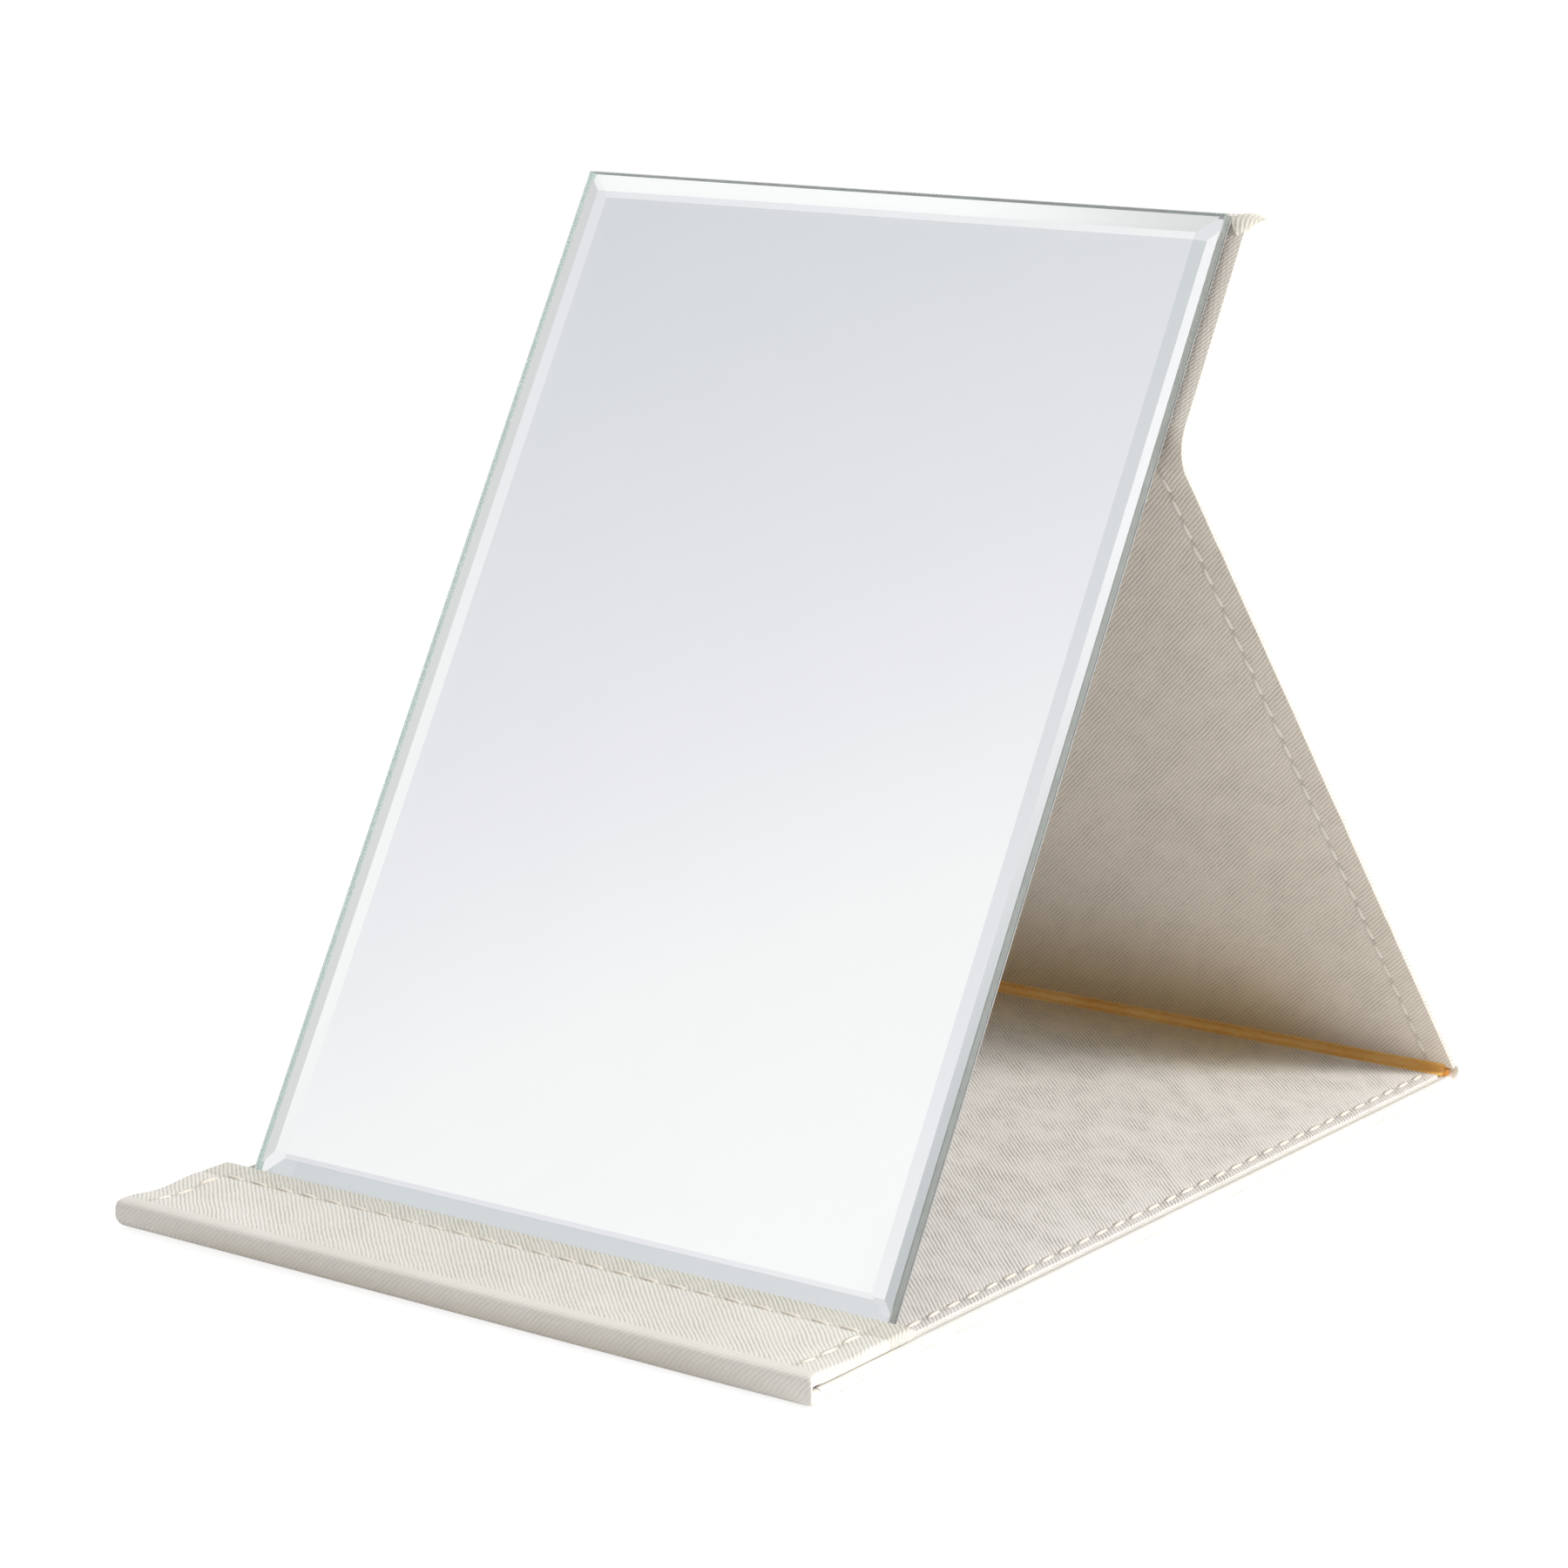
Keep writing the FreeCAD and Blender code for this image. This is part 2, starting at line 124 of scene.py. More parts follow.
def bell(x, place, width):
    """A bell curve at the same distance on both sides of the middle, 1 at its top."""
    return np.exp(-(((np.abs(x) - place) / width) ** 2))


def in_place(points, panel):
    """Panel points turned about X by the panel's angle and moved to its origin."""
    x, y, z = points[..., 0], points[..., 1], points[..., 2]
    world_y = panel.origin_y + y * math.cos(panel.turn) - z * math.sin(panel.turn)
    world_z = panel.origin_z + y * math.sin(panel.turn) + z * math.cos(panel.turn)
    return np.stack([x, world_y, world_z], axis=-1)


def width_share(panel, y):
    """A panel's width at a distance along it, as a share of the full width."""
    return np.interp(y, [panel.low, panel.high], [panel.low_share, panel.high_share])


def across_points(half_width, close_to):
    """Points from side to side, 2.4 mm apart, and closer beside some lines at both sides."""
    near = np.array([-1.4, -0.9, -0.6, -0.3, 0.0, 0.3, 0.6, 0.9, 1.4]) * MM
    fine = np.concatenate([near + place for place in close_to])
    coarse = np.linspace(0.0, half_width, 36)
    apart = np.abs(coarse[:, None] - np.array(close_to)[None, :]).min(axis=1)
    right = np.concatenate([coarse[apart > 1.8 * MM], fine])
    return np.unique(np.round(np.concatenate([right, -right]), 6))


def section(half_width, half_height, corner, close_to):
    """A closed rounded rectangle: x, height from -1 to 1, and the way round from the lower middle.

    It starts just below the middle of the left side and runs along the lower face to the right side.
    The upper half mirrors the lower one, so point i lies opposite point count - 1 - i.
    """
    arc = np.linspace(0.0, math.pi / 2, CORNER_POINTS)
    side_x = half_width - corner + corner * np.cos(arc)
    side_z = -(half_height - corner) - corner * np.sin(arc)
    side_x = np.concatenate([[half_width], side_x])
    side_z = np.concatenate([[-0.5 * (half_height - corner)], side_z])
    across = across_points(half_width, close_to)
    inner = across[np.abs(across) < half_width - corner - 0.1 * MM]
    half_x = np.concatenate([-side_x, inner, side_x[::-1]])
    half_z = np.concatenate([side_z, np.full(inner.size, -half_height), side_z[::-1]])
    x = np.concatenate([half_x, half_x[::-1]])
    z = np.concatenate([half_z, -half_z[::-1]])
    step = np.hypot(np.diff(np.append(x, x[0])), np.diff(np.append(z, z[0])))
    way = np.concatenate([[0.0], np.cumsum(step)])
    flat = slice(CORNER_POINTS, half_x.size - CORNER_POINTS)
    middle = np.interp(0.0, half_x[flat], way[flat])
    return x, z / half_height, way - middle


def cover_section(seam):
    """A cover's section, with points close together at its seam and at the rim's groove."""
    return section(HALF_WIDTH, (COVER_TOP - COVER_FACE) / 2, COVER_CORNER, (seam, RIM_GROOVE))


def lining_section(half_width, seam):
    """A lining's section, with points close together at its seam."""
    return section(half_width, (LINING_FACE - LINING_BED) / 2, LINING_CORNER, (seam,))


def loft(outer, inner, x, height, share=1.0):
    """Carries a section along two lines: height -1 lies on the outer line, height 1 on the inner.

    The share scales the section's width, for all of it or station by station.
    """
    outer, inner = (line[:, None, :] if line.ndim == 2 else line for line in (outer, inner))
    along = (outer + inner) / 2 + (inner - outer) / 2 * height[None, :, None]
    wide = np.broadcast_to(np.reshape(share, (-1, 1, 1)) * x[None, :, None], along.shape[:2] + (1,))
    return np.concatenate([wide, along], axis=-1)


def face_grid(y, face):
    """Points along the strip at distances y, with a height for each section point."""
    return np.stack([np.broadcast_to(y[:, None], face.shape), face], axis=-1)


def path_length(points):
    """The distance along a line of points, from its start."""
    step = np.linalg.norm(np.diff(points, axis=0), axis=1)
    return np.concatenate([[0.0], np.cumsum(step)])


def ripple(x, y):
    """Slight unevenness of glued cloth, from 0 to 1: products of long slanted sine waves."""
    first = np.sin(61.0 * x + 23.0 * y + 0.7) * np.sin(37.0 * y - 19.0 * x + 1.9)
    second = np.sin(112.0 * x - 71.0 * y + 0.4) * np.sin(93.0 * y + 47.0 * x)
    return 0.5 + 0.35 * first + 0.15 * second


def rounded_end(outer, inner, y, end, radius):
    """Draws two lines together over a quarter circle where the strip ends."""
    reach = np.clip(np.abs(y - end) / radius, 0.0, 1.0)
    share = np.maximum(np.sqrt(1.0 - (1.0 - reach) ** 2), 0.1)[:, None, None]
    middle = (outer + inner) / 2
    return middle + (outer - middle) * share, middle + (inner - middle) * share


def stations(start, end, step, round_start=0.0, round_end=0.0):
    """Distances along the strip, closer together over a rounded end."""
    turn = np.linspace(0.0, math.pi / 2, 7)
    head = start + round_start * (1.0 - np.cos(turn)) if round_start else np.array([start])
    tail = end - round_end * (1.0 - np.cos(turn))[::-1] if round_end else np.array([end])
    count = max(2, int(round((tail[0] - head[-1]) / step)) + 1)
    body = np.linspace(head[-1], tail[0], count)
    return np.unique(np.concatenate([head, body, tail]))


# Meshes

def outward(points, faces):
    """True if the faces of a closed mesh point outwards: the sum of its signed volumes is positive."""
    corner = [points[faces[:, k]] for k in range(4)]
    first = np.einsum("ij,ij->i", corner[0], np.cross(corner[1], corner[2]))
    second = np.einsum("ij,ij->i", corner[0], np.cross(corner[2], corner[3]))
    return first.sum() + second.sum() > 0


def add_object(name, data, place=(0, 0, 0), turn=(0, 0, 0)):
    """A new object in the scene, with its turn about each axis in degrees."""
    item = bpy.data.objects.new(name, data)
    item.location = place
    item.rotation_euler = [math.radians(angle) for angle in turn]
    bpy.context.scene.collection.objects.link(item)
    return item


def make_mesh(name, points, faces, weave, sharp=40.0):
    """A mesh of quads from arrays: points, four corners a face, and each corner's weave coordinates."""
    if not outward(points, faces):
        faces, weave = faces[:, ::-1], weave[:, ::-1]
    mesh = bpy.data.meshes.new(name)
    mesh.vertices.add(len(points))
    mesh.vertices.foreach_set("co", np.ascontiguousarray(points, np.float32).ravel())
    mesh.loops.add(faces.size)
    mesh.loops.foreach_set("vertex_index", np.ascontiguousarray(faces, np.int32).ravel())
    mesh.polygons.add(len(faces))
    mesh.polygons.foreach_set("loop_start", np.arange(0, faces.size, 4, dtype=np.int32))
    mesh.update(calc_edges=True)
    layer = mesh.uv_layers.new(name=WEAVE_MAP)
    layer.data.foreach_set("uv", np.ascontiguousarray(weave, np.float32).ravel())
    mesh.validate()
    mesh.shade_smooth()
    mesh.set_sharp_from_angle(angle=math.radians(sharp))
    return add_object(name, mesh)


def grid_faces(rows, count):
    """Quads of a closed tube of rows by count points, with a ladder of quads across each end.

    Gives the faces and, for the weave, the row and the column of each corner.
    """
    row, column = np.meshgrid(np.arange(rows - 1), np.arange(count), indexing="ij")
    row, column = row.ravel(), column.ravel()
    rows_of = np.stack([row, row, row + 1, row + 1], axis=-1)
    columns_of = np.stack([column, column + 1, column + 1, column], axis=-1)
    rung = np.arange(count // 2 - 1)
    ladder = np.stack([rung, count - 1 - rung, count - 2 - rung, rung + 1], axis=-1)
    rows_of = np.concatenate([rows_of, np.zeros_like(ladder), np.full_like(ladder, rows - 1)])
    columns_of = np.concatenate([columns_of, ladder, ladder[:, ::-1]])
    return rows_of * count + columns_of % count, rows_of, columns_of


def skin(name, points, way, along, on_lining=False):
    """A closed skin from a grid of rows by section points, with weave coordinates in metres.

    The weave's first coordinate is the way round the section and its second the distance along the
    strip. A cover counts the way from its lower face's middle, a lining from its upper face's middle,
    so on the face that is seen it equals x.
    """
    rows, count = points.shape[:2]
    faces, rows_of, columns_of = grid_faces(rows, count)
    if on_lining:
        way = (way[-1] - way[0]) / 2 - way
    weave = np.stack([way[columns_of], along[rows_of]], axis=-1)
    return make_mesh(name, points.reshape(-1, 3), faces, weave)


def dress(item, material, slot, *nodes):
    """Gives a piece its material, and hides the CAD nodes that it stands for. The slot is not used."""
    item.data.materials.append(material)
    if nodes:
        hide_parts(*nodes)
    return item


# Node helpers

def wire(tree, value, socket):
    """Links a socket to another, or sets its plain value."""
    if isinstance(value, bpy.types.NodeSocket):
        tree.links.new(value, socket)
    else:
        socket.default_value = value


def feed(tree, node, **values):
    """Links or sets a node's inputs by their names, with an underscore for each space."""
    for label, value in values.items():
        wire(tree, value, node.inputs[label.replace("_", " ")])


def add_node(tree, kind, **values):
    """A new shader node with some of its inputs linked or set."""
    node = tree.nodes.new("ShaderNode" + kind)
    feed(tree, node, **values)
    return node


def maths(tree, operation, first, second=0.0, third=0.0):
    """The output of a Math node."""
    node = add_node(tree, "Math")
    node.operation = operation
    for socket, value in zip(node.inputs, (first, second, third)):
        wire(tree, value, socket)
    return node.outputs[0]


def wave(tree, turns):
    """A sine wave from 0 to 1, by the number of turns."""
    sine = maths(tree, "SINE", maths(tree, "MULTIPLY", turns, 2.0 * math.pi))
    return maths(tree, "MULTIPLY_ADD", sine, 0.5, 0.5)


def between(tree, value, low, high, new_low=0.0, new_high=1.0):
    """The output of a smooth Map Range node."""
    node = add_node(tree, "MapRange", Value=value, From_Min=low, From_Max=high,
                    To_Min=new_low, To_Max=new_high)
    node.interpolation_type = "SMOOTHSTEP"
    return node.outputs["Result"]


def noise(tree, vector, scale, detail=3.0, roughness=0.55):
    """The height of a Noise Texture node."""
    node = add_node(tree, "TexNoise", Vector=vector, Scale=scale, Detail=detail, Roughness=roughness)
    return node.outputs["Fac"]


def stretched(tree, vector, scale):
    """The output of a Mapping node that stretches a pattern."""
    return add_node(tree, "Mapping", Vector=vector, Scale=scale).outputs["Vector"]


def split(tree, vector):
    """The three parts of a vector."""
    return add_node(tree, "SeparateXYZ", Vector=vector).outputs


def mixed(tree, share, first, second):
    """The colour between two colours."""
    node = add_node(tree, "Mix")
    node.data_type = "RGBA"
    feed(tree, node, Factor=share)
    colours = [socket for socket in node.inputs if socket.type == "RGBA"]
    wire(tree, first, colours[0])
    wire(tree, second, colours[1])
    return [socket for socket in node.outputs if socket.type == "RGBA"][0]


def mixed_shader(tree, share, first, second):
    """A Mix Shader node between two shader nodes."""
    node = add_node(tree, "MixShader", Fac=share)
    tree.links.new(first.outputs[0], node.inputs[1])
    tree.links.new(second.outputs[0], node.inputs[2])
    return node


def new_group(name, inputs, outputs):
    """A shader node group with a vector, named values and named results.

    Gives its tree, the sockets of its inputs, and the node that takes its results.
    """
    tree = bpy.data.node_groups.new(name, "ShaderNodeTree")
    tree.interface.new_socket("Vector", in_out="INPUT", socket_type="NodeSocketVector")
    for label in inputs:
        tree.interface.new_socket(label, in_out="INPUT", socket_type="NodeSocketFloat")
    for label in outputs:
        tree.interface.new_socket(label, in_out="OUTPUT", socket_type="NodeSocketFloat")
    start = tree.nodes.new("NodeGroupInput")
    end = tree.nodes.new("NodeGroupOutput")
    return tree, start.outputs, end


def twill_group():
    """Slanted ribs of a twill cloth: height of the ribs, depth of the grooves, and clouds of handling.

    The ribs wander a little, break up into staggered threads, and their grooves deepen in blotches.
    """
    results = ("Height", "Groove", "Cloud")
    tree, source, result = new_group("twill", ("Slant", "Ribs", "Blotch"), results)
    turned = add_node(tree, "VectorRotate", Vector=source["Vector"], Angle=source["Slant"])
    turned.rotation_type = "Z_AXIS"
    parts = split(tree, turned.outputs["Vector"])
    wander = maths(tree, "SUBTRACT", noise(tree, source["Vector"], 120.0, 2.0), 0.5)
    rib = maths(tree, "MULTIPLY", parts["X"], source["Ribs"])
    rib = maths(tree, "MULTIPLY_ADD", wander, 0.9, rib)
    ridge = wave(tree, rib)
    stagger = maths(tree, "MULTIPLY", maths(tree, "FLOOR", maths(tree, "ADD", rib, 0.25)), 0.37)
    thread = maths(tree, "MULTIPLY", parts["Y"], source["Ribs"])
    thread = maths(tree, "MULTIPLY_ADD", thread, 0.6, stagger)
    over_under = wave(tree, thread)
    fibre = noise(tree, stretched(tree, turned.outputs["Vector"], (1.0, 0.2, 1.0)), 1900.0, 3.0)
    height = maths(tree, "MULTIPLY", ridge, maths(tree, "MULTIPLY_ADD", over_under, 0.35, 0.65))
    height = maths(tree, "MULTIPLY_ADD", fibre, 0.5, height)
    patch = noise(tree, stretched(tree, turned.outputs["Vector"], (1.0, 0.45, 1.0)), 170.0, 2.0, 0.6)
    patch = between(tree, patch, 0.36, 0.68, -0.8, 1.2)
    blotch = maths(tree, "MULTIPLY_ADD", patch, source["Blotch"], 0.75)
    streak = maths(tree, "MULTIPLY_ADD", fibre, 1.6, 0.2)
    groove = maths(tree, "POWER", maths(tree, "SUBTRACT", 1.0, ridge), 1.6)
    groove = maths(tree, "MULTIPLY", maths(tree, "MULTIPLY", groove, blotch), streak)
    cloud = between(tree, noise(tree, source["Vector"], 30.0, 4.0, 0.6), 0.36, 0.66)
    feed(tree, result, Height=height, Groove=groove, Cloud=cloud)
    return tree


def speckle_group():
    """Fine grain and broad clouds on a plain surface, both from 0 to 1."""
    tree, source, result = new_group("speckle", ("Grain Scale",), ("Grain", "Cloud"))
    grain = noise(tree, source["Vector"], source["Grain Scale"])
    cloud = between(tree, noise(tree, source["Vector"], 42.0), 0.35, 0.65)
    feed(tree, result, Grain=grain, Cloud=cloud)
    return tree


def seam_group():
    """How much painted shade darkens the cloth in the grooves of two side seams and a cross seam, from
    0 to 1.

    Beyond the cross seam, towards the free edge and the glass, the painted shade stays.
    """
    tree, source, result = new_group("seam", ("Line", "Cross"), ("Shade",))
    parts = split(tree, source["Vector"])
    outwards = maths(tree, "SUBTRACT", maths(tree, "ABSOLUTE", parts["X"]), source["Line"])
    side = maths(tree, "ABSOLUTE", outwards)
    past = maths(tree, "SUBTRACT", parts["Y"], source["Cross"])
    cross = maths(tree, "MULTIPLY", maths(tree, "ABSOLUTE", past), 0.8)
    # Painted shade in the seams' grooves
    line = between(tree, maths(tree, "MINIMUM", side, cross), 0.0, 1.1 * MM, 1.0, 0.0)
    # Painted shade on the flap past its cross seam, in front of the glass
    shade_past_seam = between(tree, past, -1.0 * MM, 1.0 * MM, 0.7, 0.0)
    feed(tree, result, Shade=maths(tree, "MAXIMUM", line, shade_past_seam))
    return tree


TWILL = twill_group()
SPECKLE = speckle_group()
SEAM = seam_group()


def new_material(name, roughness, metallic=0.0):
    """A material with a Principled shader: the material, its tree and the shader."""
    material = bpy.data.materials.new(name)
    material.use_nodes = True
    tree = material.node_tree
    shader = tree.nodes["Principled BSDF"]
    feed(tree, shader, Roughness=roughness, Metallic=metallic)
    return material, tree, shader


def place_group(tree, group, vector, **values):
    """A group node in a material, with its vector and its own values."""
    node = add_node(tree, "Group")
    node.node_tree = group
    feed(tree, node, Vector=vector, **values)
    return node.outputs


def bumped(tree, shader, height, distance, strength):
    """Feeds a height to the shader's normal through a Bump node."""
    node = add_node(tree, "Bump", Distance=distance, Strength=strength, Height=height)
    feed(tree, shader, Normal=node.outputs["Normal"])


def weave_vector(tree):
    """The piece's own weave coordinates."""
    node = add_node(tree, "UVMap")
    node.uv_map = WEAVE_MAP
    return node.outputs["UV"]


def object_vector(tree):
    """Object coordinates."""
    return add_node(tree, "TexCoord").outputs["Object"]


IVORY = (0.87, 0.852, 0.812, 1)
IVORY_SHADE = (0.42, 0.40, 0.36, 1)
LINING_IVORY = (0.875, 0.852, 0.832, 1)
LINING_SHADE = (0.37, 0.35, 0.33, 1)
# The strut's lining: the linings' cloth made darker and warmer, painted shade
STRUT_SHADED_IVORY = (0.845, 0.775, 0.69, 1)
STRUT_SHADE = (0.40, 0.35, 0.30, 1)
# The upper panel's lining: the linings' cloth made darker and warmer, painted shade
UPPER_SHADED_IVORY = (0.85, 0.80, 0.735, 1)
# The covers' cloth made darker for the nose: painted shade on its front
NOSE_SHADED_IVORY = (0.84, 0.815, 0.77, 1)
EAR_CREAM = (0.88, 0.85, 0.75, 1)
FLAP_SHADE = (0.40, 0.385, 0.30, 1)
# Warm tan for painted shade near the rear fold, standing for shade and the tan strip's bounce light
WARM_SHADE_TAN = (0.74, 0.50, 0.12, 1)
# Darker tan for painted shade on the nose's front
NOSE_SHADE_TAN = (0.58, 0.53, 0.46, 1)
PAINTED_SHADE_FADE = 37 * MM
FALLING = math.radians(-45.0)
RISING = math.radians(45.0)
NO_SEAM = -1.0

# A weave: the slant of its ribs, ribs a metre, how dark its grooves are, and how much that varies.
# A painted shade, colour that stands for shade: where along the strip it starts and is full, its full
# share and its colour, and how far it reaches to each side before it fades
Weave = namedtuple("Weave", "slant ribs depth blotch")
PaintedShade = namedtuple("PaintedShade", "start end share colour side")


def cloth_material(name, colour, shade, weave, seam, cross=NO_SEAM, painted_shade=None):
    """Ribbed ivory cloth: pale ribs, darker grooves, faint clouds, painted shade along the seams.

    Painted shade can darken the cloth along the strip, and it fades towards both sides.
    """
    material, tree, shader = new_material(name, 0.62)
    place = weave_vector(tree)
    twill = place_group(tree, TWILL, place, Slant=weave.slant, Ribs=weave.ribs, Blotch=weave.blotch)
    sewn = place_group(tree, SEAM, place, Line=seam, Cross=cross)
    # Faint clouds of handling, and painted shade along the seams
    handling_and_shade = maths(tree, "MULTIPLY", twill["Cloud"], 0.07)
    handling_and_shade = maths(tree, "MULTIPLY_ADD", sewn["Shade"], 0.3, handling_and_shade)
    dark = maths(tree, "MULTIPLY_ADD", twill["Groove"], weave.depth, handling_and_shade)
    # Painted shade: a darker, warmer colour along the strip, fading towards both sides
    if painted_shade:
        parts = split(tree, place)
        share = between(tree, parts["Y"], painted_shade.start, painted_shade.end, 0.0, painted_shade.share)
        sideways = maths(tree, "ABSOLUTE", parts["X"])
        inside = between(tree, sideways, painted_shade.side, painted_shade.side + PAINTED_SHADE_FADE, 1.0, 0.0)
        colour = mixed(tree, maths(tree, "MULTIPLY", share, inside), colour, painted_shade.colour)
    rough = maths(tree, "MULTIPLY_ADD", twill["Groove"], 0.2, 0.5)
    feed(tree, shader, Base_Color=mixed(tree, dark, colour, shade), Roughness=rough)
    feed(tree, shader, Specular_IOR_Level=0.35, Sheen_Weight=0.06)
    bumped(tree, shader, twill["Height"], 0.16 * MM, 0.45)
    return material


def tan_material():
    """Raw tan edge strip: long fibres along the fold and darker worn places."""
    material, tree, shader = new_material("tan_strip", 0.7)
    place = object_vector(tree)
    fibre = noise(tree, stretched(tree, place, (0.35, 1.0, 1.0)), 1600.0, 3.0)
    cloud = noise(tree, place, 70.0)
    tone = maths(tree, "MULTIPLY_ADD", fibre, 0.4, maths(tree, "MULTIPLY", cloud, 0.6))
    colour = mixed(tree, between(tree, tone, 0.3, 0.7), (0.82, 0.45, 0.11, 1), (0.94, 0.61, 0.22, 1))
    feed(tree, shader, Base_Color=colour)
    bumped(tree, shader, fibre, 0.1 * MM, 0.4)
    return material


THREAD_TWIST = 0.5 * MM


def thread_material():
    """Pale sewing thread: twisted plies as slanted stripes along each stitch."""
    material, tree, shader = new_material("pale_thread", 0.5)
    parts = split(tree, weave_vector(tree))
    slanted = maths(tree, "ADD", parts["X"], parts["Y"])
    ply = wave(tree, maths(tree, "DIVIDE", slanted, THREAD_TWIST))
    feed(tree, shader, Base_Color=mixed(tree, ply, (0.73, 0.675, 0.60, 1), (0.90, 0.845, 0.77, 1)))
    bumped(tree, shader, ply, 0.06 * MM, 0.5)
    return material


def speckled_material(name, light, dark, rough, grain_scale, bump, metallic=0.0, stretch=(1, 1, 1)):
    """A plain surface with grain: board, film, tape or plated metal."""
    material, tree, shader = new_material(name, rough, metallic)
    place = stretched(tree, object_vector(tree), stretch)
    speckle = place_group(tree, SPECKLE, place, Grain_Scale=grain_scale)
    tone = maths(tree, "MULTIPLY", speckle["Grain"], 0.7)
    tone = maths(tree, "MULTIPLY_ADD", speckle["Cloud"], 0.3, tone)
    colour = mixed(tree, between(tree, tone, 0.25, 0.75), dark, light)
    roughness = maths(tree, "MULTIPLY_ADD", speckle["Grain"], 0.16, rough - 0.08)
    feed(tree, shader, Base_Color=colour, Roughness=roughness)
    bumped(tree, shader, speckle["Grain"], bump, 0.4)
    return material


GLASS_IOR = 1.5


def glass_material():
    """Clear float glass with a polish that varies very slightly."""
    material, tree, shader = new_material("clear_glass", 0.0)
    speckle = place_group(tree, SPECKLE, object_vector(tree), Grain_Scale=30.0)
    feed(tree, shader, Base_Color=(0.982, 0.992, 0.989, 1), Transmission_Weight=1.0, IOR=GLASS_IOR)
    feed(tree, shader, Roughness=maths(tree, "MULTIPLY", speckle["Cloud"], 0.004))
    return material


def glass_edge_material(name, glow):
    """Ground edge of the glass: grey-green and frosted, with the fine lines of the grinding wheel.

    Seen from inside the glass it has a painted teal glow, which stands for daylight that enters it.
    """
    material, tree, shader = new_material(name, 0.4)
    place = object_vector(tree)
    lines = noise(tree, stretched(tree, place, (1.0, 0.3, 0.3)), 1500.0, 3.0)
    colour = mixed(tree, lines, (0.30, 0.335, 0.32, 1), (0.44, 0.47, 0.455, 1))
    frosted = maths(tree, "MULTIPLY_ADD", lines, 0.2, 0.3)
    feed(tree, shader, Base_Color=colour, Roughness=frosted, Transmission_Weight=0.5, IOR=GLASS_IOR)
    # Painted teal glow, seen only from inside the glass, for daylight that enters it
    inside = add_node(tree, "NewGeometry").outputs["Backfacing"]
    lit = mixed(tree, lines, (0.36, 0.48, 0.43, 1), (0.48, 0.62, 0.56, 1))
    lit = mixed(tree, inside, (0, 0, 0, 1), lit)
    feed(tree, shader, Emission_Color=lit, Emission_Strength=glow)
    return material


def silver_material():
    """Silvering behind the glass: bright metal with a faint cloud."""
    material, tree, shader = new_material("silvered_back", 0.012, 1.0)
    speckle = place_group(tree, SPECKLE, object_vector(tree), Grain_Scale=300.0)
    tone = maths(tree, "MULTIPLY", speckle["Cloud"], 0.25)
    colour = mixed(tree, tone, (0.972, 0.972, 0.974, 1), (0.95, 0.952, 0.955, 1))
    polish = maths(tree, "MULTIPLY_ADD", speckle["Cloud"], 0.006, 0.004)
    feed(tree, shader, Base_Color=colour, Roughness=polish)
    return material


FLAP_SEAM_END = FLAP_EDGE + 7.8 * MM
# Painted warm shade on the base and strut linings near the rear fold
BASE_PAINTED_SHADE = PaintedShade(200 * MM, 238 * MM, 0.55, WARM_SHADE_TAN, 28 * MM)
STRUT_PAINTED_SHADE = PaintedShade(50 * MM, 4 * MM, 0.5, WARM_SHADE_TAN, 35 * MM)
# Painted shade on the nose's front, darker towards its bottom
NOSE_PAINTED_SHADE = PaintedShade(9 * MM, 2.5 * MM, 0.75, NOSE_SHADE_TAN, 52 * MM)
base_cloth = cloth_material(
    "base_cover_cloth", IVORY, IVORY_SHADE, Weave(FALLING, 1250.0, 0.55, 0.15), BASE_SEAM)
base_lining_cloth = cloth_material(
    "base_lining_cloth", LINING_IVORY, LINING_SHADE, Weave(FALLING, 1250.0, 0.75, 0.3), BASE_SEAM,
    painted_shade=BASE_PAINTED_SHADE)
strut_cloth = cloth_material(
    "strut_cover_cloth", IVORY, IVORY_SHADE, Weave(RISING, 1250.0, 0.55, 0.15), STRUT_SEAM)
strut_lining_cloth = cloth_material(
    "strut_lining_cloth", STRUT_SHADED_IVORY, STRUT_SHADE, Weave(RISING, 1300.0, 0.52, 0.25), STRUT_SEAM,
    painted_shade=STRUT_PAINTED_SHADE)
upper_lining_cloth = cloth_material(
    "upper_lining_cloth", UPPER_SHADED_IVORY, STRUT_SHADE, Weave(RISING, 1300.0, 0.32, 0.25), STRUT_SEAM)
nose_cloth = cloth_material(
    "nose_cloth", NOSE_SHADED_IVORY, IVORY_SHADE, Weave(RISING, 1200.0, 0.25, 0.15), NO_SEAM,
    painted_shade=NOSE_PAINTED_SHADE)
ear_cloth = cloth_material(
    "corner_ear_cloth", EAR_CREAM, IVORY_SHADE, Weave(RISING, 1250.0, 0.16, 0.15), NO_SEAM)
flap_cloth = cloth_material(
    "flap_cover_cloth", IVORY, FLAP_SHADE, Weave(RISING, 1200.0, 0.6, 0.15), BASE_SEAM, FLAP_SEAM_END)
tan_strip = tan_material()
pale_thread = thread_material()
clear_glass = glass_material()
# Ground edges with a painted teal glow from inside the glass
ground_side = glass_edge_material("ground_glass_side", 0.58)
ground_end = glass_edge_material("ground_glass_end", 0.1)
silvered_back = silver_material()


# Panels

def raised_rim(x, panel):
    """Height of a cover's inner side: low under the lining, then a groove and a raised rim."""
    rim = RIM_RISE * smooth((np.abs(x) - panel.lining - RIM_GAP) / RIM_WIDTH)
    return COVER_TOP + rim - RIM_GROOVE_DEPTH * bell(x, panel.lining + RIM_GAP, RIM_WIDTH)


def seam_dent(x, panel):
    """How far the side seams draw a panel's cloth in."""
    return 0.14 * MM * bell(x, panel.seam, 0.8 * MM)[None, :]


